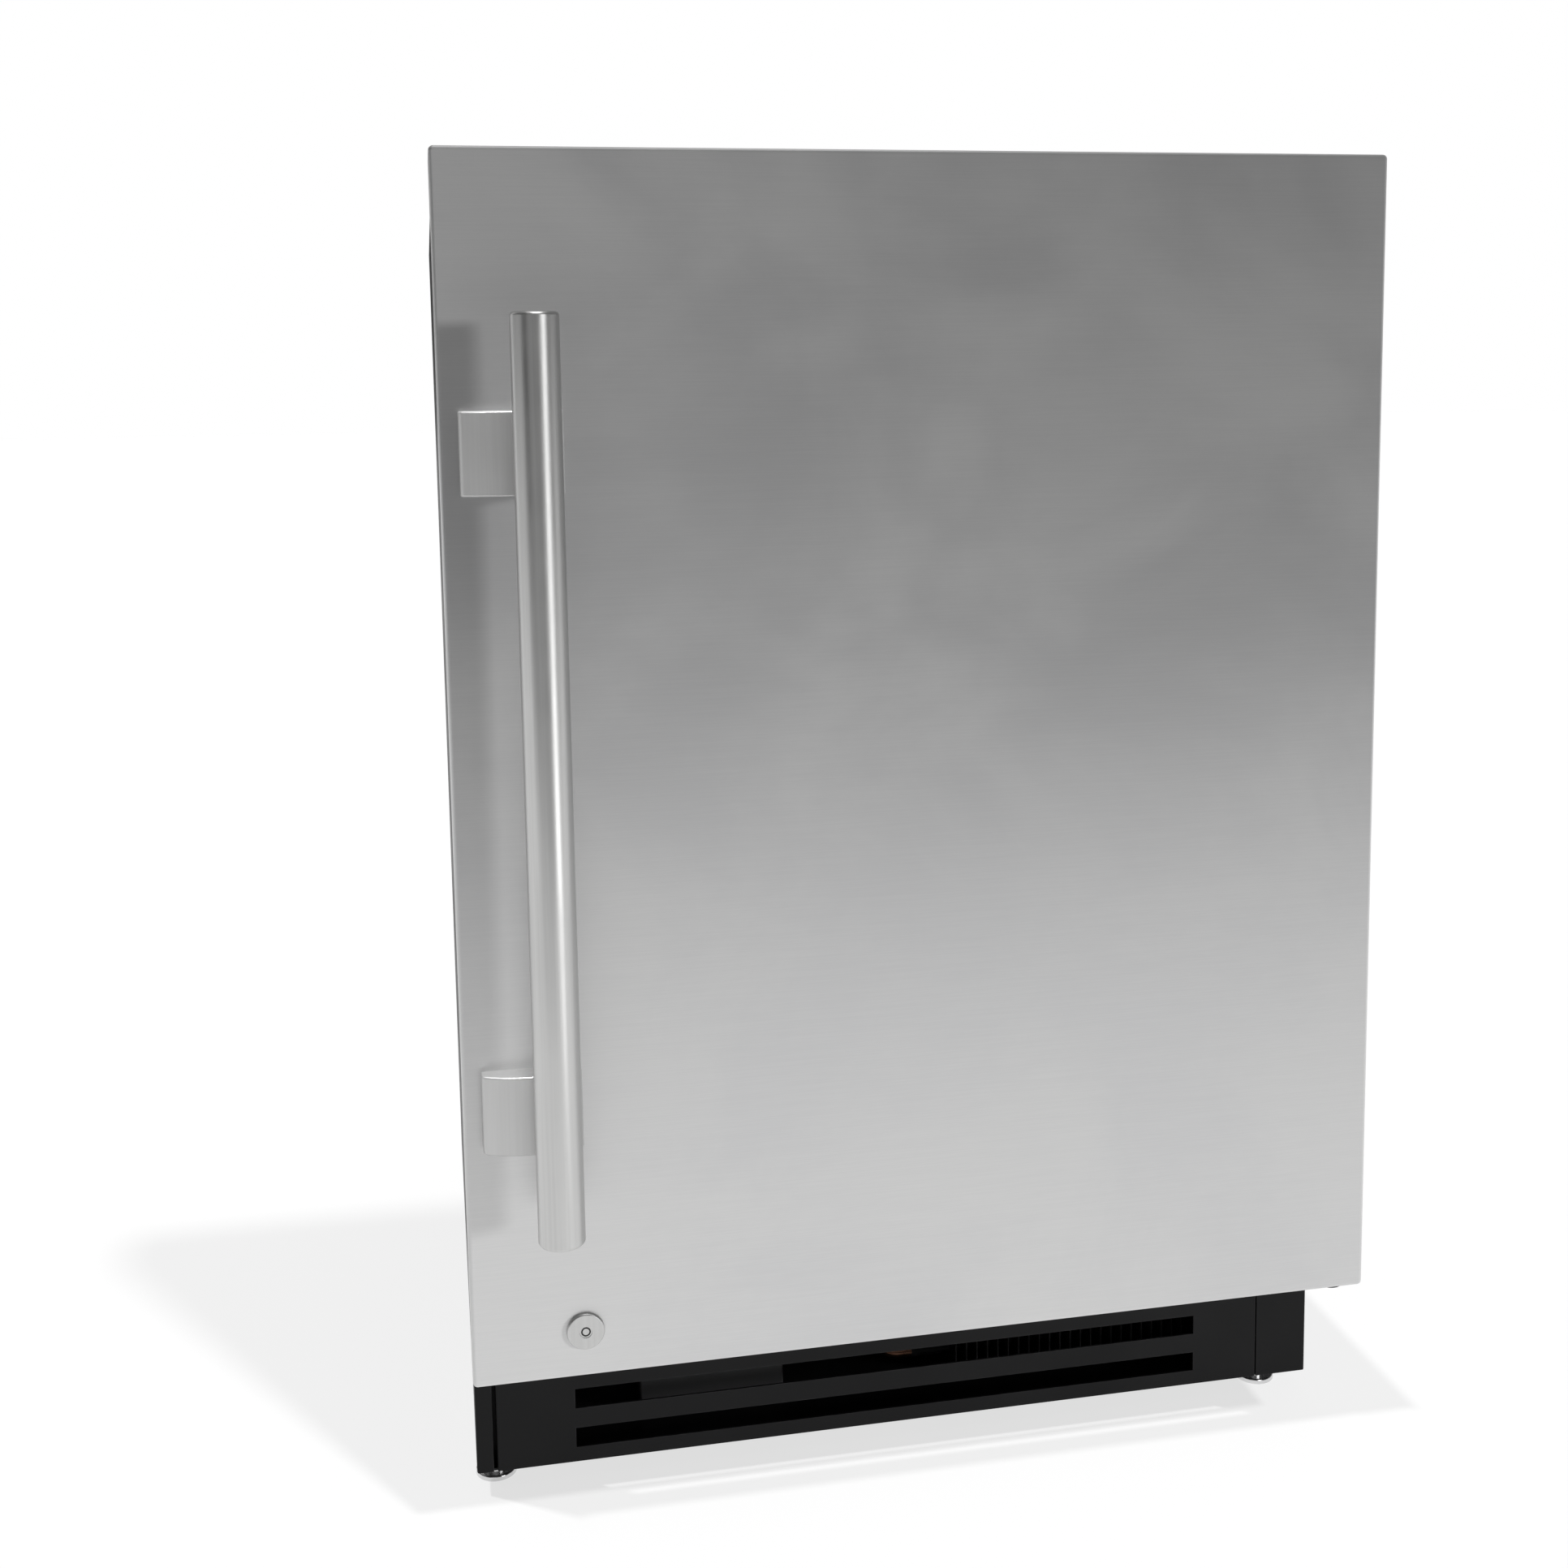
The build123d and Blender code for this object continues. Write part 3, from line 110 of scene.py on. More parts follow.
class Finish(Nodes):
    """A Principled material, with short ways to add procedural detail to it."""

    def __init__(self, name, colour, metallic, roughness, **sockets):
        self.material = bpy.data.materials.new(name)
        self.material.use_nodes = True
        self.tree = self.material.node_tree
        self.shader = self.tree.nodes["Principled BSDF"]
        self.place = self.tree.nodes.new("ShaderNodeTexCoord").outputs["Object"]
        self.colour = colour
        self.roughness = roughness
        self.set("Base Color", (*colour, 1.0))
        self.set("Metallic", metallic)
        self.set("Roughness", roughness)
        for socket, value in sockets.items():
            self.set(socket.replace("_", " "), value)
        self.normal = None

    def set(self, socket, value):
        """Sets or links one input of the shader."""
        self.give(self.shader.inputs[socket], value)

    def stretched(self, scale):
        """Object coordinates scaled along each axis."""
        return self.add("ShaderNodeMapping", {"Vector": self.place, "Scale": scale}).outputs[0]

    def noise(self, scale, stretch=(1, 1, 1), detail=3.0, rough=0.5, warp=0.0):
        inputs = {"Vector": self.stretched(stretch), "Scale": scale, "Detail": detail, "Roughness": rough,
                  "Distortion": warp}
        return self.add("ShaderNodeTexNoise", inputs).outputs[0]

    def cells(self, scale, feature="F1", output="Distance", stretch=(1, 1, 1)):
        node = self.add("ShaderNodeTexVoronoi", {"Vector": self.stretched(stretch), "Scale": scale},
                        feature=feature)
        return node.outputs[output]

    def blend(self, mask, first, second):
        """Between two colours, or sockets that carry one, by a mask."""
        node = self.add("ShaderNodeMix", {}, data_type="RGBA")
        self.give(node.inputs[0], mask)
        for socket, value in ((node.inputs[6], first), (node.inputs[7], second)):
            self.give(socket, value if isinstance(value, bpy.types.NodeSocket) else (*value, 1.0))
        return node.outputs[2]

    def shades(self, mask, low, high, darkest=0.92, lightest=1.06):
        """The base colour, a little darker and lighter over a mask."""
        dark = [c * darkest for c in self.colour]
        light = [min(c * lightest, 1.0) for c in self.colour]
        self.set("Base Color", self.blend(self.remap(mask, low, high, 0, 1), dark, light))

    def rough_between(self, mask, low, high, spread):
        """The roughness, varied by a spread over a mask."""
        self.set("Roughness", self.remap(mask, low, high, self.roughness - spread, self.roughness + spread))

    def bump(self, height, strength, depth):
        """A bump on top of the bumps added before it."""
        inputs = {"Height": height, "Strength": strength, "Distance": depth}
        if self.normal is not None:
            inputs["Normal"] = self.normal
        self.normal = self.add("ShaderNodeBump", inputs).outputs[0]
        self.set("Normal", self.normal)

    def edge_wear_and_highlight(self, radius, amount):
        """A mask that is 1 on outer and inner edges, broken up by noise; the lighter colour it gives is
        partly wear and partly a painted highlight along the edges.
        """
        rounded = self.add("ShaderNodeBevel", {"Radius": radius}, samples=4).outputs[0]
        plain = self.add("ShaderNodeNewGeometry", {}).outputs["Normal"]
        dot = self.add("ShaderNodeVectorMath", {0: rounded, 1: plain}, operation="DOT_PRODUCT")
        worn_lit_edge = self.remap(dot.outputs["Value"], 0.97, 0.80, 0, amount)
        return self.maths("MULTIPLY", worn_lit_edge, self.remap(self.noise(90, detail=4), 0.40, 0.62, 0.15, 1))

    def grain(self, axis, scale, strength, depth):
        """Fine brushed lines that run along one axis."""
        stretch = [1.0, 1.0, 1.0]
        stretch[axis] = GRAIN_SQUASH
        lines = self.noise(scale, stretch=stretch, detail=3, rough=0.65)
        self.bump(lines, strength, depth)
        return lines


def door_steel():
    """Brushed sheet, the lines running across, with faint clouds and a slightly wavy surface."""
    f = Finish("stainless", (0.57, 0.57, 0.57), 0.82, 0.39)
    lines = f.grain(X_AXIS, 1500, 0.03, 0.00002)
    clouds = f.noise(5.5, stretch=(1, 1, 1.2), detail=5, rough=0.55, warp=0.4)
    smudge = f.remap(clouds, 0.34, 0.66, 0, 1)
    streak = f.remap(lines, 0.35, 0.65, 0, 1)
    tone = f.maths("ADD", f.maths("MULTIPLY", smudge, 0.75), f.maths("MULTIPLY", streak, 0.25))
    f.set("Base Color", f.blend(tone, (0.535, 0.536, 0.54), (0.605, 0.605, 0.603)))
    f.set("Roughness", f.remap(clouds, 0.30, 0.70, 0.36, 0.43))
    f.bump(f.noise(2.2, detail=2), 0.25, 0.0012)
    return f.material


def bar_steel():
    """Brushed tube, brighter than the door, the lines running up."""
    f = Finish("stainless_bar", (0.55, 0.55, 0.545), 0.96, 0.34)
    lines = f.grain(Z_AXIS, 420, 0.010, 0.00002)
    f.shades(lines, 0.35, 0.65, 0.97, 1.03)
    f.rough_between(f.noise(14, detail=4), 0.3, 0.7, 0.03)
    return f.material


def bracket_steel():
    """The bar's steel, duller."""
    f = Finish("stainless_bracket", (0.50, 0.50, 0.498), 0.62, 0.36)
    lines = f.grain(Z_AXIS, 420, 0.010, 0.00002)
    f.shades(lines, 0.35, 0.65, 0.98, 1.02)
    f.rough_between(f.noise(18, detail=4), 0.3, 0.7, 0.04)
    return f.material


def black_paint():
    """Black powder paint with orange peel, a little dust, and lighter edges that are partly wear and partly
    painted highlight.
    """
    f = Finish("black_steel", (0.010, 0.010, 0.0105), 0.0, 0.42, Specular_IOR_Level=0.11)
    peel = f.noise(900, detail=2)
    f.bump(peel, 0.12, 0.00015)
    f.rough_between(f.noise(11, detail=4, warp=0.5), 0.3, 0.7, 0.05)
    # The lighter edges are partly wear and partly a painted highlight, on outer and inner edges alike.
    wear_and_highlight = f.edge_wear_and_highlight(0.0009, 0.55)
    dust = f.remap(f.noise(6, detail=6), 0.45, 0.75, 0, 0.5)
    f.set("Base Color", f.blend(wear_and_highlight, f.blend(dust, (0.0070, 0.0070, 0.0073), (0.012, 0.012, 0.0124)),
                                (0.050, 0.050, 0.052)))
    return f.material


def zinc_sheet():
    """Galvanised sheet with spangle."""
    f = Finish("galvanised", (0.52, 0.53, 0.54), 0.85, 0.40)
    spangle = f.cells(55, output="Color", stretch=(1, 1, 1.3))
    grey = f.add("ShaderNodeRGBToBW", {0: spangle}).outputs[0]
    f.shades(grey, 0.1, 0.9, 0.82, 1.12)
    f.rough_between(grey, 0.1, 0.9, 0.07)
    f.bump(f.noise(260, detail=3), 0.08, 0.0002)
    return f.material


def bright_plate():
    """Bright plating, uneven in gloss."""
    f = Finish("plated", (0.74, 0.74, 0.745), 1.0, 0.16)
    f.rough_between(f.noise(160, detail=5), 0.3, 0.7, 0.06)
    f.shades(f.noise(50, detail=4), 0.35, 0.65, 0.90, 1.03)
    f.bump(f.noise(1400, detail=2), 0.05, 0.0001)
    return f.material


def plastic(name, colour, roughness, peel, gloss=0.4):
    """Moulded plastic with a fine orange peel and slightly uneven gloss."""
    f = Finish(name, colour, 0.0, roughness, Specular_IOR_Level=gloss)
    f.bump(f.noise(peel, detail=2), 0.10, 0.0002)
    f.rough_between(f.noise(24, detail=4), 0.3, 0.7, 0.05)
    # Lighter edges: partly wear, partly a painted highlight.
    worn_lit_edge = f.edge_wear_and_highlight(0.0008, 0.5)
    light = [min(c * 1.25 + 0.01, 1.0) for c in colour]
    uneven = f.blend(f.remap(f.noise(9, detail=5), 0.35, 0.65, 0, 1), [c * 0.965 for c in colour], colour)
    f.set("Base Color", f.blend(worn_lit_edge, uneven, light))
    return f.material


def foam():
    """Rigid foam with open cells."""
    f = Finish("foam", (0.82, 0.74, 0.50), 0.0, 0.92)
    cells = f.cells(420)
    # The cell hollows, sunk by the bump below, are painted darker as shade in them.
    f.shades(cells, 0.0, 0.7, 0.75, 1.05)
    f.bump(cells, 0.5, 0.0006)
    f.rough_between(cells, 0.0, 0.7, 0.05)
    return f.material


def rubber(name, colour, roughness):
    """Matt rubber with a fine skin."""
    f = Finish(name, colour, 0.0, roughness, Specular_IOR_Level=0.35)
    fine = f.noise(1600, detail=3)
    f.bump(fine, 0.18, 0.00015)
    f.shades(f.noise(22, detail=5), 0.35, 0.65, 0.8, 1.35)
    f.rough_between(f.noise(60, detail=3), 0.3, 0.7, 0.07)
    return f.material


def aluminium():
    """Drawn aluminium with fine lines."""
    f = Finish("aluminium", (0.78, 0.79, 0.80), 0.95, 0.30)
    lines = f.grain(Z_AXIS, 1800, 0.10, 0.00002)
    f.shades(lines, 0.3, 0.7, 0.9, 1.04)
    f.rough_between(f.noise(40, detail=3), 0.3, 0.7, 0.06)
    return f.material


def copper():
    """Copper tube, brown with tarnish, its colours painted far darker than bare copper as shade inside the
    machine compartment.
    """
    f = Finish("copper", (0.72, 0.38, 0.22), 0.95, 0.30)
    tarnish = f.remap(f.noise(38, detail=6, warp=0.6), 0.42, 0.66, 0, 1)
    # Both colours are painted dark as shade; the tarnish mask only varies between them.
    f.set("Base Color", f.blend(tarnish, (0.24, 0.125, 0.08), (0.09, 0.055, 0.04)))
    f.set("Roughness", f.remap(tarnish, 0, 1, 0.26, 0.48))
    f.bump(f.noise(500, detail=3), 0.06, 0.0001)
    return f.material


def coated_wire():
    """Grey wire under a clear coat."""
    f = Finish("shelf_wire", (0.60, 0.61, 0.62), 0.35, 0.30, Coat_Weight=0.4, Coat_Roughness=0.2)
    f.shades(f.noise(30, detail=5), 0.35, 0.65, 0.92, 1.06)
    f.rough_between(f.noise(90, detail=3), 0.3, 0.7, 0.05)
    f.bump(f.noise(900, detail=2), 0.06, 0.0001)
    return f.material


def lamp_lens():
    """A glowing lens with fine prisms."""
    f = Finish("light_lens", (0.92, 0.93, 0.95), 0.0, 0.35, Emission_Strength=1.6)
    prisms = f.add("ShaderNodeTexWave", {"Vector": f.stretched((1, 0, 0)), "Scale": 90.0, "Distortion": 0.0},
                   wave_type="BANDS").outputs["Fac"]
    f.bump(prisms, 0.35, 0.0006)
    f.set("Emission Color", f.blend(prisms, (0.80, 0.85, 0.93), (1.0, 1.0, 1.0)))
    f.rough_between(f.noise(50, detail=3), 0.3, 0.7, 0.05)
    return f.material


def display_glass():
    """Near-black glass with a faint haze."""
    f = Finish("display_glass", (0.012, 0.012, 0.015), 0.0, 0.08, Coat_Weight=0.6, Coat_Roughness=0.03)
    f.rough_between(f.noise(45, detail=5), 0.4, 0.7, 0.04)
    f.shades(f.noise(20, detail=3), 0.3, 0.7, 0.7, 1.5)
    return f.material


FINISHES = {
    "stainless": door_steel(),
    "stainless_bar": bar_steel(),
    "black_steel": black_paint(),
    "galvanised": zinc_sheet(),
    "plated": bright_plate(),
    "white_liner": plastic("white_liner", (0.84, 0.85, 0.85), 0.36, 700, gloss=0.5),
    "grey_plastic": plastic("grey_plastic", (0.33, 0.34, 0.35), 0.46, 1100),
    "black_plastic": plastic("black_plastic", (0.028, 0.028, 0.029), 0.48, 1100),
    "foam": foam(),
    "gasket_rubber": rubber("gasket_rubber", (0.075, 0.076, 0.078), 0.62),
    "black_rubber": rubber("black_rubber", (0.026, 0.026, 0.026), 0.70),
    "aluminium": aluminium(),
    "copper": copper(),
    "shelf_wire": coated_wire(),
    "light_lens": lamp_lens(),
    "display_glass": display_glass(),
}

slot_of = {entry["node"]: entry["material_slot"] for entry in frame["record"]["subparts"]}
# Nodes that look different from the rest of their slot.
bracket_finish = bracket_steel()
own_finish = {"handle_bracket_upper": bracket_finish, "handle_bracket_lower": bracket_finish,
              "hinge_pins": FINISHES["black_steel"]}
for node, thing in frame["nodes"].items():
    thing.data.materials.clear()
    thing.data.materials.append(own_finish.get(node, FINISHES[slot_of[node]]))

# ---------------------------------------------------------------- small pieces

MERGE = 1e-7


def in_scene(name, data):
    obj = bpy.data.objects.new(name, data)
    bpy.context.scene.collection.objects.link(obj)
    return obj


def piece(name, mesh, slot_name, body):
    """An object from a bmesh of closed skins, with its finish, riding on a CAD body."""
    bmesh.ops.remove_doubles(mesh, verts=mesh.verts, dist=MERGE)
    bmesh.ops.recalc_face_normals(mesh, faces=mesh.faces)
    data = bpy.data.meshes.new(name)
    mesh.to_mesh(data)
    mesh.free()
    data.materials.append(FINISHES[slot_name])
    obj = in_scene(name, data)
    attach(obj, body)
    return obj


def turned(mesh, profile, steps, place):
    """A solid of revolution from (radius, height) pairs, set down by a matrix."""
    rings = []
    for radius, height in profile:
        if radius == 0:
            rings.append([mesh.verts.new(place @ Vector((0, 0, height)))])
            continue
        angles = [2 * math.pi * n / steps for n in range(steps)]
        rings.append([mesh.verts.new(place @ Vector((radius * math.cos(a), radius * math.sin(a), height)))
                      for a in angles])
    for low, high in zip(rings, rings[1:]):
        for n in range(steps):
            m = (n + 1) % steps
            corners = [low[n % len(low)], low[m % len(low)], high[m % len(high)], high[n % len(high)]]
            unique = list(dict.fromkeys(corners))
            mesh.faces.new(unique)


def from_above(x, d, z):
    """Where something stands upright: x, depth behind the door's front and height, in millimetres."""
    return Matrix.Translation((x / 1000, DOOR_FRONT + d / 1000, z / 1000))


def from_front(x, d, z):
    """The same, for something that stands out towards the front."""
    return from_above(x, d, z) @ Matrix.Rotation(math.pi / 2, 4, "X")


def from_back(x, d, z):
    """The same, for something that stands out towards the back."""
    return from_above(x, d, z) @ Matrix.Rotation(-math.pi / 2, 4, "X")


# Pan-head screws, in metres: head, cross recess and shank. The flat part of the head ends at the crown.
HEAD_RADIUS, HEAD_HEIGHT, CROWN = 0.0038, 0.0022, 0.0029
RECESS_LONG, RECESS_SHORT, RECESS_DEPTH, RECESS_TAPER = 0.0021, 0.0005, 0.0013, 0.6
SHANK_RADIUS, SHANK_TIP, LONG_SHANK, SHORT_SHANK = 0.0020, 0.0012, 0.0098, 0.0049
HEAD_STEPS = 24
FIRST_TURN, NEXT_TURN = 0.37, 1.3

# Where the screws sit, in millimetres: the height or depth of the sheet, and the places on it.
HINGE_PLATE_Z, HINGE_PLATE_SPOTS = 872.5, ((245, 95), (245, 135), (288, 115))
TAB_Z, TAB_D, TAB_XS = 870.5, 122, (-200, 200)
LEAF_X, LEAF_D, LEAF_ZS = 283.5, 71.5, (136, 154)
STRIKE_D, STRIKE_Z, STRIKE_XS = 72.5, 141, (-241.7, -221.7)
COVER_D, COVER_XS, COVER_ZS = 627, (-294, 294), (60, 240)


def screw(mesh, place, shank):
    """A pan-head screw with a cross recess, its head's underside at height 0."""
    profile = ((0, -shank), (SHANK_RADIUS * 0.5, -shank), (SHANK_RADIUS, -shank + SHANK_TIP),
               (SHANK_RADIUS, 0), (HEAD_RADIUS, 0), (HEAD_RADIUS, HEAD_HEIGHT * 0.45),
               (HEAD_RADIUS * 0.93, HEAD_HEIGHT * 0.80), (CROWN, HEAD_HEIGHT))
    turned(mesh, profile, HEAD_STEPS, place)

    def vertex(x, y, height):
        return mesh.verts.new(place @ Vector((x, y, height)))

    a, b = RECESS_LONG, RECESS_SHORT
    cross = ((a, -b), (a, b), (b, b), (b, a), (-b, a), (-b, b),
             (-a, b), (-a, -b), (-b, -b), (-b, -a), (b, -a), (b, -b))
    turns = [2 * math.pi * n / HEAD_STEPS for n in range(HEAD_STEPS)]
    rim = [vertex(CROWN * math.cos(t), CROWN * math.sin(t), HEAD_HEIGHT) for t in turns]
    mouth = [vertex(x, y, HEAD_HEIGHT) for x, y in cross]
    deep = [vertex(x * RECESS_TAPER, y * RECESS_TAPER, HEAD_HEIGHT - RECESS_DEPTH) for x, y in cross]
    edges = [mesh.edges.new((ring[n - 1], ring[n])) for ring in (rim, mouth) for n in range(len(ring))]
    bmesh.ops.triangle_fill(mesh, use_beauty=True, edges=edges)
    for n in range(len(cross)):
        mesh.faces.new((mouth[n - 1], mouth[n], deep[n], deep[n - 1]))
    mesh.faces.new(deep)


def cabinet_screws():
    """The cabinet's screws, in place of the plain ones of the CAD model."""
    spots = [(from_above(x, d, HINGE_PLATE_Z), LONG_SHANK) for x, d in HINGE_PLATE_SPOTS]
    spots += [(from_above(x, TAB_D, TAB_Z), LONG_SHANK) for x in TAB_XS]
    spots += [(from_front(LEAF_X, LEAF_D, z), LONG_SHANK) for z in LEAF_ZS]
    spots += [(from_front(x, STRIKE_D, STRIKE_Z), LONG_SHANK) for x in STRIKE_XS]
    spots += [(from_back(x, COVER_D, z), SHORT_SHANK) for x in COVER_XS for z in COVER_ZS]
    mesh = bmesh.new()
    for n, (place, shank) in enumerate(spots):
        screw(mesh, place @ Matrix.Rotation(FIRST_TURN + NEXT_TURN * n, 4, "Z"), shank)
    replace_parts(piece("screws_cross_recess", mesh, "plated", "cabinet"), "cabinet_screws")


# Hooded louvres over the rear cover's slots, in metres: half length, rounded end, reach, sheet, and the
# columns and rows that they stand in.
LOUVRE_HALF, LOUVRE_END, LOUVRE_OUT, LOUVRE_SHEET = 0.110, 0.012, 0.0040, 0.0008
LOUVRE_XS, LOUVRE_PITCH, LOUVRE_LOW, LOUVRE_ROWS = (-0.145, 0.145), 0.015, 0.040, 11
LOUVRE_BACK, LOUVRE_OVERLAP, LOUVRE_ABOVE = DOOR_FRONT + 0.6269, 0.0030, 0.0016
SLOT_HEIGHT = 0.006
ARC_STEPS, END_STEPS = 6, 5
SHARP_ANGLE = math.radians(35)


def louvre(mesh, x, z):
    """One pressed hood: a curved lip that leaves the sheet above a slot and closes at both ends."""
    rise = SLOT_HEIGHT + LOUVRE_OVERLAP
    stations = []
    for side in (-1, 1):
        ends = [side * (LOUVRE_HALF + LOUVRE_END * math.sin(math.pi / 2 * n / END_STEPS))
                for n in range(END_STEPS + 1)]
        stations += ends[::-1] if side < 0 else ends
    rows = []
    for along in stations:
        past = max(abs(along) - LOUVRE_HALF, 0) / LOUVRE_END
        swell = math.sqrt(max(1 - past * past, 0))
        ring = []
        for skin in (LOUVRE_SHEET, 0):
            turns = range(ARC_STEPS + 1)
            for n in turns if skin else reversed(turns):
                t = math.pi / 2 * n / ARC_STEPS
                out = (LOUVRE_OUT * math.sin(t)) * swell + skin
                height = z + SLOT_HEIGHT + LOUVRE_ABOVE - rise * (1 - math.cos(t))
                ring.append(mesh.verts.new((x + along, LOUVRE_BACK + out, height)))
        rows.append(ring)
    for left, right in zip(rows, rows[1:]):
        for n in range(len(left)):
            mesh.faces.new((left[n - 1], left[n], right[n], right[n - 1]))
    mesh.faces.new(rows[0])
    mesh.faces.new(rows[-1][::-1])


def louvres():
    """All the hoods, as one pressed sheet."""
    mesh = bmesh.new()
    for x in LOUVRE_XS:
        for row in range(LOUVRE_ROWS):
            louvre(mesh, x, LOUVRE_LOW + row * LOUVRE_PITCH - SLOT_HEIGHT / 2)
    obj = piece("rear_louvres", mesh, "galvanised", "cabinet")
    for face in obj.data.polygons:
        face.use_smooth = True
    obj.data.set_sharp_from_angle(angle=SHARP_ANGLE)


# Triangles on the buttons, in metres: size, height, and their corners for a size of 1.
MARK_SIZE, MARK_RAISED, MARK_SUNK = 0.0021, 0.0003, 0.00003
MARK_CORNERS = ((0, 1.0), (-0.95, -0.7), (0.95, -0.7))
MARK_LAYERS = ((1.0, MARK_SUNK), (1.0, -MARK_RAISED * 0.6), (0.86, -MARK_RAISED))


def arrow_marks():
    """A raised triangle on each button, up or down."""
    for name, way in (("button_up", 1), ("button_down", -1)):
        low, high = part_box(name)
        x, z = (low.x + high.x) / 2, (low.z + high.z) / 2
        mesh = bmesh.new()
        sides = []
        for scale, front in MARK_LAYERS:
            size = MARK_SIZE * scale
            sides.append([mesh.verts.new((x + size * u, low.y + front, z + way * size * v))
                          for u, v in MARK_CORNERS])
        for first, second in zip(sides, sides[1:]):
            for n in range(3):
                mesh.faces.new((first[n - 1], first[n], second[n], second[n - 1]))
        mesh.faces.new(sides[-1])
        mesh.faces.new(sides[0][::-1])
        piece("mark_" + name, mesh, "white_liner", name)


# The black ring in the lock's key groove, painted shade for its bottom, in metres below the face of the lock,
# whose place is in millimetres.
RING_INNER, RING_OUTER, RING_LOW, RING_TOP, RING_LIP = 0.00216, 0.00304, -0.0024, -0.0003, 0.0001
RING_STEPS = 32
LOCK_FACE = (-231.7, -2.2, 150.8)


def painted_groove_shade():
    """Painted shade: a black ring that darkens the bottom of the lock's round key groove, turning with the
    cylinder.
    """
    mesh = bmesh.new()
    profile = ((RING_INNER, RING_LOW), (RING_OUTER, RING_LOW), (RING_OUTER, RING_TOP - RING_LIP),
               (RING_OUTER - RING_LIP, RING_TOP), (RING_INNER + RING_LIP, RING_TOP),
               (RING_INNER, RING_TOP - RING_LIP), (RING_INNER, RING_LOW))
    turned(mesh, profile, RING_STEPS, from_front(*LOCK_FACE))
    piece("lock_groove_ring", mesh, "black_plastic", "lock_cylinder")


cabinet_screws()
louvres()
arrow_marks()
painted_groove_shade()


# ---------------------------------------------------------------- studio

# The floor: its grey, its glow, which keeps it nearly white, and its half width.
FLOOR_GREY, FLOOR_GLOW, FLOOR_HALF = 0.10, 0.72, 30

# The card: its place, and its light, lightest on the left, darker towards the right and past its left border.
CARD_Y, CARD_XS, CARD_ZS = -2.1, (-4.5, 5.0), (0.002, 3.6)
CARD_LIGHT_X, CARD_DARK_X = -1.1, 1.0
CARD_LIGHT, CARD_DARK = 0.255, 0.0
CARD_FADE_X, CARD_FADE_WIDTH, CARD_FADE = -1.35, 0.5, 0.10

# Light level of the room, and its panels: azimuth, half width and soft border, elevation, half height and
# soft border (degrees), and added level.
ROOM_LEVEL = 0.14
PANELS = (
    (-135, 6, 10, 10, 30, 25, 1.2),
    (110, 30, 30, 20, 30, 25, 0.05),
    (190, 45, 30, 20, 40, 30, 0.45),
    (0, 180, 1, 90, 12, 20, 1.2),
)

# Where the lamps for the bar are aimed.
BAR_X, BAR_Y = -0.247, -0.33


def direct(obj, azimuth, elevation):
    """Aims a lamp so that its light comes from a direction: azimuth 0 is the front, 90 the right."""
    a, e = math.radians(azimuth), math.radians(elevation)
    towards = Vector((math.sin(a) * math.cos(e), -math.cos(a) * math.cos(e), math.sin(e)))
    obj.rotation_euler = towards.to_track_quat("Z", "Y").to_euler()


def collect(name, things):
    group = bpy.data.collections.new(name)
    for thing in things:
        group.objects.link(thing)
    return group


def limit(obj, receivers, blockers=None):
    """Lets a lamp light only some objects, and lets only some objects shade it."""
    obj.light_linking.receiver_collection = collect(obj.name + "_receivers", receivers)
    if blockers is not None:
        obj.light_linking.blocker_collection = collect(obj.name + "_blockers", blockers)


def sun(name, azimuth, elevation, strength, angle, receivers, blockers=None, glossy=True):
    """A far lamp; angle is its width in degrees, and a lamp that isn't glossy isn't mirrored."""
    lamp = bpy.data.lights.new(name, "SUN")
    lamp.energy = strength
    lamp.angle = math.radians(angle)
    obj = in_scene(name, lamp)
    direct(obj, azimuth, elevation)
    limit(obj, receivers, blockers)
    obj.visible_glossy = glossy


def panel(name, azimuth, elevation, distance, width, height, power, aim, receivers):
    """A soft rectangular lamp, standing in a direction from the point it is aimed at."""
    lamp = bpy.data.lights.new(name, "AREA")
    lamp.shape = "RECTANGLE"
    lamp.size = width
    lamp.size_y = height
    lamp.energy = power
    obj = in_scene(name, lamp)
    direct(obj, azimuth, elevation)
    obj.location = Vector(aim) + obj.rotation_euler.to_matrix() @ Vector((0, 0, distance))
    limit(obj, receivers)


def stage_sheet(name, corners, finish):
    """A flat four-cornered sheet that isn't part of the object."""
    mesh = bmesh.new()
    mesh.faces.new([mesh.verts.new(corner) for corner in corners])
    data = bpy.data.meshes.new(name)
    mesh.to_mesh(data)
    mesh.free()
    data.materials.append(finish.material)
    obj = in_scene(name, data)
    return obj


def make_card():
    """A wide dark card in front of the door, behind the camera, that only the metal mirrors."""
    f = Finish("studio_card", (0.0, 0.0, 0.0), 0.0, 1.0, Specular_IOR_Level=0.0)
    x = f.add("ShaderNodeSeparateXYZ", {0: f.place}).outputs[0]
    level = f.remap(x, CARD_LIGHT_X, CARD_DARK_X, CARD_LIGHT, CARD_DARK)
    fade = f.remap(x, CARD_FADE_X - CARD_FADE_WIDTH, CARD_FADE_X, CARD_FADE, 1.0)
    f.set("Emission Color", (1.0, 1.0, 1.0, 1.0))
    f.set("Emission Strength", f.maths("MULTIPLY", level, fade))
    (x0, x1), (z0, z1) = CARD_XS, CARD_ZS
    corners = [(x0, CARD_Y, z0), (x1, CARD_Y, z0), (x1, CARD_Y, z1), (x0, CARD_Y, z1)]
    obj = stage_sheet("studio_card", corners, f)
    obj.visible_camera = False
    obj.visible_diffuse = False
    obj.visible_shadow = False


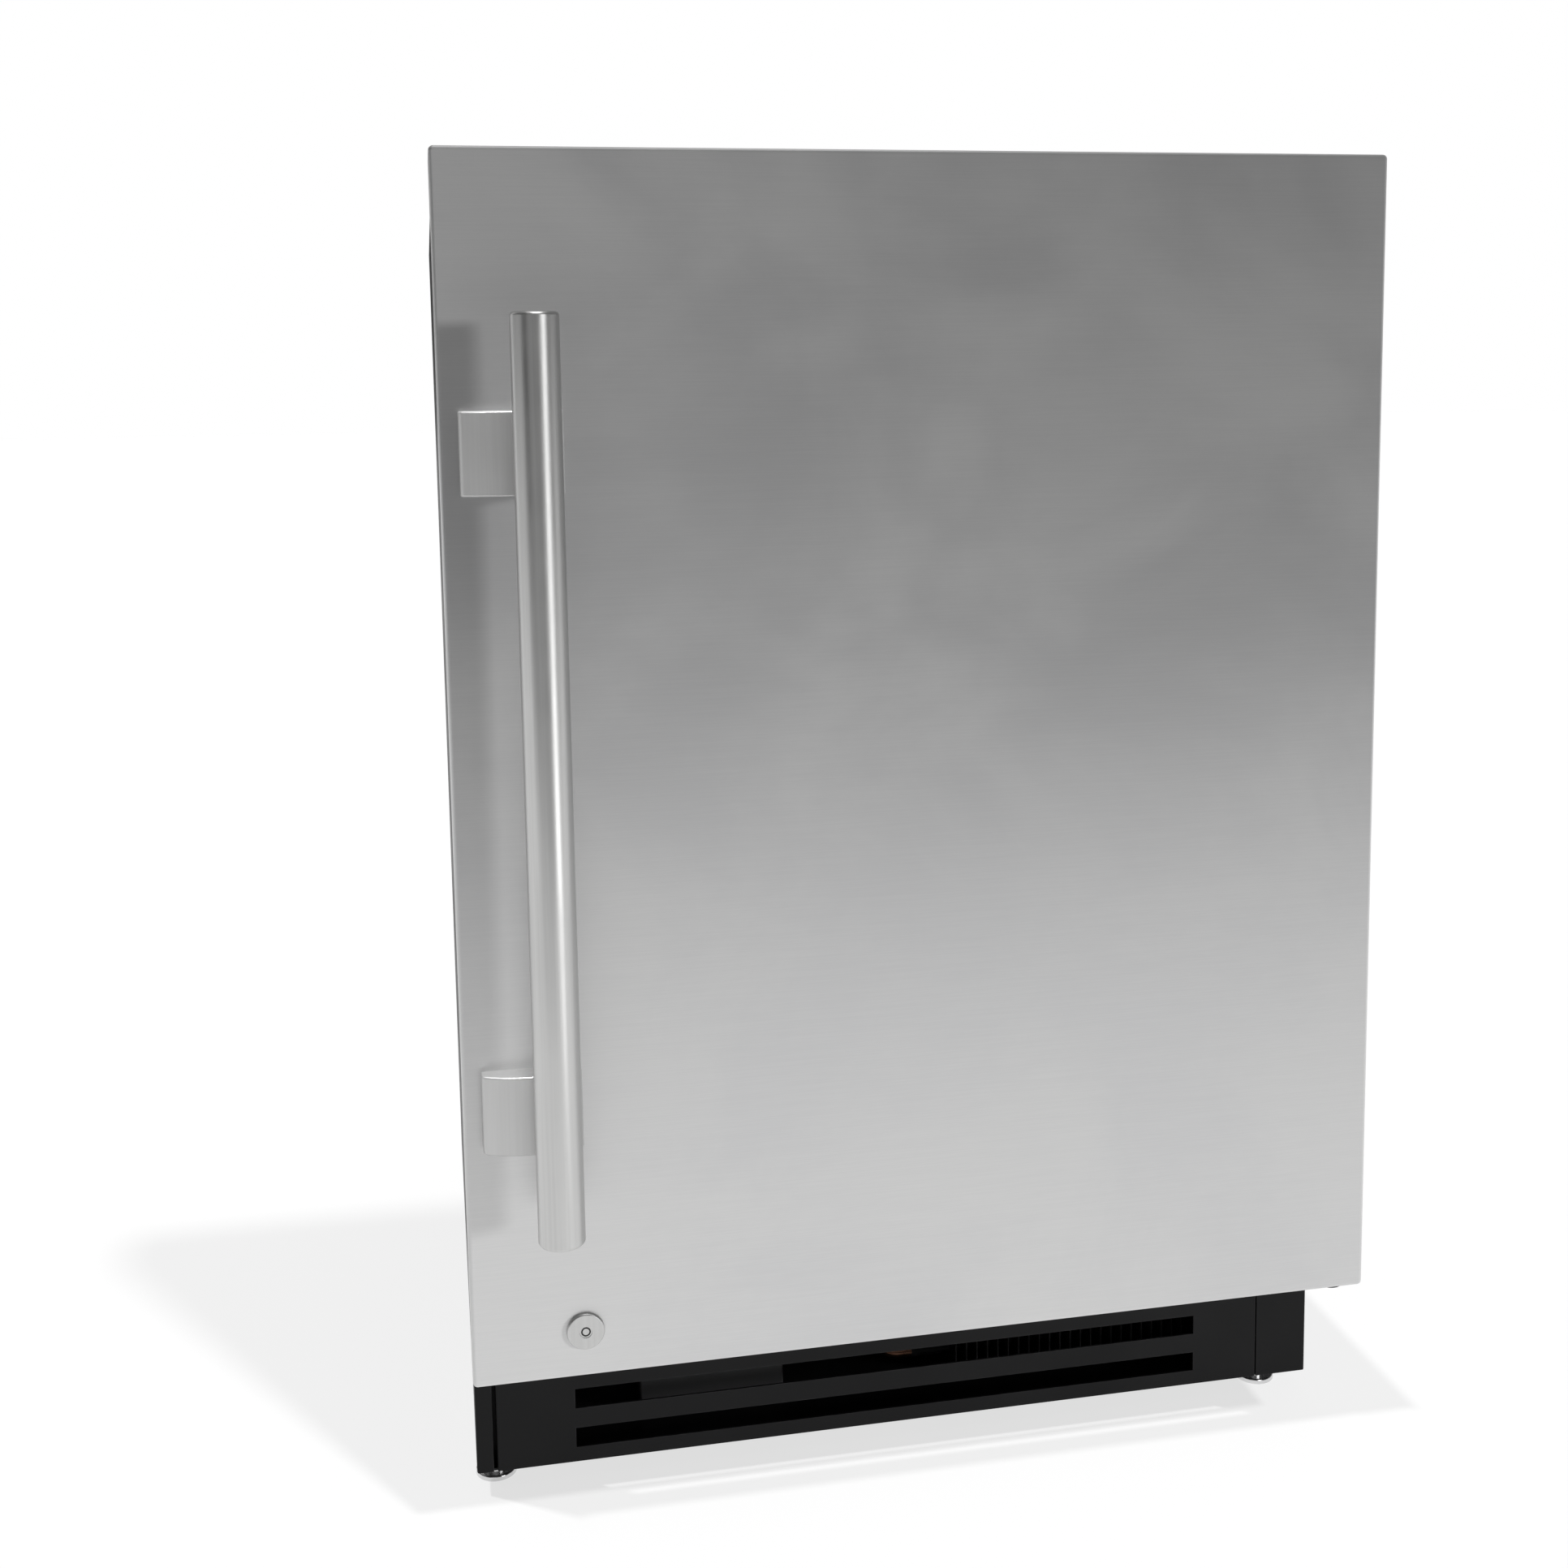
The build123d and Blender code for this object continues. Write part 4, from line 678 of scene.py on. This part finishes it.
def make_floor():
    """A wide pale floor: nearly white, a little darker in shadow."""
    f = Finish("studio_floor", (FLOOR_GREY,) * 3, 0.0, 1.0, Specular_IOR_Level=0.0)
    f.set("Emission Color", (1.0, 1.0, 1.0, 1.0))
    f.set("Emission Strength", FLOOR_GLOW)
    w = FLOOR_HALF
    return stage_sheet("studio_floor", [(-w, -w, 0), (w, -w, 0), (w, w, 0), (-w, w, 0)], f)


class WorldNodes(Nodes):
    """The nodes of a new world."""

    def __init__(self, name):
        world = bpy.data.worlds.new(name)
        bpy.context.scene.world = world
        world.use_nodes = True
        self.tree = world.node_tree
        self.tree.nodes.clear()

    def band(self, value, centre, half, soft):
        """1 within half of a centre, falling smoothly to 0 over a soft border."""
        away = self.maths("ABSOLUTE", self.maths("SUBTRACT", value, centre))
        return self.remap(away, half + soft, half, 0, 1)


def make_world():
    """A grey room with soft panels around it; the camera itself sees plain white behind the object."""
    w = WorldNodes("studio")
    towards = w.add("ShaderNodeTexCoord", {}).outputs["Generated"]
    x, y, z = w.add("ShaderNodeSeparateXYZ", {0: towards}).outputs
    to_degrees = 180 / math.pi
    azimuth = w.maths("MULTIPLY", w.maths("ARCTAN2", x, w.maths("MULTIPLY", y, -1.0)), to_degrees)
    elevation = w.maths("MULTIPLY", w.maths("ARCSINE", z), to_degrees)
    total = ROOM_LEVEL
    for centre, half, soft, up, up_half, up_soft, strength in PANELS:
        across = w.band(azimuth, centre, half, soft)
        shape = w.maths("MULTIPLY", across, w.band(elevation, up, up_half, up_soft))
        total = w.maths("ADD", total, w.maths("MULTIPLY", shape, strength))
    room = w.add("ShaderNodeBackground", {"Strength": total})
    white = w.add("ShaderNodeBackground", {"Color": (1, 1, 1, 1)})
    camera_ray = w.add("ShaderNodeLightPath", {}).outputs["Is Camera Ray"]
    seen = w.add("ShaderNodeMixShader", {0: camera_ray, 1: room.outputs[0], 2: white.outputs[0]})
    w.add("ShaderNodeOutputWorld", {"Surface": seen.outputs[0]})


def named(*starts):
    return [o for o in objects if o.name.startswith(starts)]


floor = make_floor()
make_card()
make_world()

objects = list(frame["nodes"].values())
bright_work = [o for o in objects
               if slot_of[o.name] in ("stainless_bar", "plated") and o.name != "hinge_pins"]
in_the_dark = [o for o in objects if slot_of[o.name] == "copper"]
painted = [o for o in objects if o not in bright_work + in_the_dark]
low_pieces = named("kick_plate", "leg_front")
under_pieces = low_pieces + named("base_rail", "base_tray")
front_pieces = low_pieces + [o for o in objects if o["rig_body"] in ("door", "lock_cylinder")]

# Two lamps for the floor's shadow, two for all that isn't bright metal, one for the brackets and three
# for the bar and what else is bright.
sun("floor_sun_right", 32, 58, strength=4.8, angle=3.0, receivers=[floor], blockers=front_pieces)
sun("floor_sun_left", -123, 56, strength=4.9, angle=4.0, receivers=[floor], blockers=under_pieces)
sun("key", 57, 6, strength=2.7, angle=9.0, receivers=painted, glossy=False)
sun("door_key", 57, 6, strength=3.1, angle=9.0, receivers=named("door_skin"), glossy=False)
sun("bracket_light", -5, 80, strength=6.0, angle=10.0, receivers=named("handle_bracket"))
panel("bar_strip", 37, 2, distance=1.2, width=0.40, height=1.3, power=4.3, aim=(BAR_X, BAR_Y, 0.40),
      receivers=bright_work)
panel("bar_fill", -75, 4, distance=1.2, width=0.40, height=1.3, power=0.12, aim=(BAR_X, BAR_Y, 0.58),
      receivers=bright_work)
panel("bar_top", 15, 62, distance=1.0, width=0.60, height=0.80, power=4.5, aim=(BAR_X, BAR_Y, 0.78),
      receivers=bright_work)

# ---------------------------------------------------------------- camera

# The camera: left of the door's middle and above it, turned right and looking a little down.
CAMERA_AT = Vector((-0.309, DOOR_FRONT - 1.0955, DOOR_BOTTOM + 0.6253))
YAW, PITCH, ROLL = (math.radians(a) for a in (10.967, 6.697, -0.851))
LENS, SENSOR, SHIFT, NEAR = 41.749, 36.0, -0.12, 0.01


def make_camera():
    data = bpy.data.cameras.new("camera")
    data.lens = LENS
    data.sensor_width = SENSOR
    data.shift_y = SHIFT
    data.clip_start = NEAR
    obj = in_scene("camera", data)
    ahead = Vector((math.sin(YAW) * math.cos(PITCH), math.cos(YAW) * math.cos(PITCH), -math.sin(PITCH)))
    right = Vector((math.cos(YAW), -math.sin(YAW), 0))
    up = right.cross(ahead)
    rolled_right = right * math.cos(ROLL) + up * math.sin(ROLL)
    rolled_up = up * math.cos(ROLL) - right * math.sin(ROLL)
    turn = Matrix((rolled_right, rolled_up, -ahead)).transposed().to_4x4()
    obj.matrix_world = Matrix.Translation(CAMERA_AT) @ turn
    bpy.context.scene.camera = obj


make_camera()
bpy.context.scene.view_settings.view_transform = "Standard"
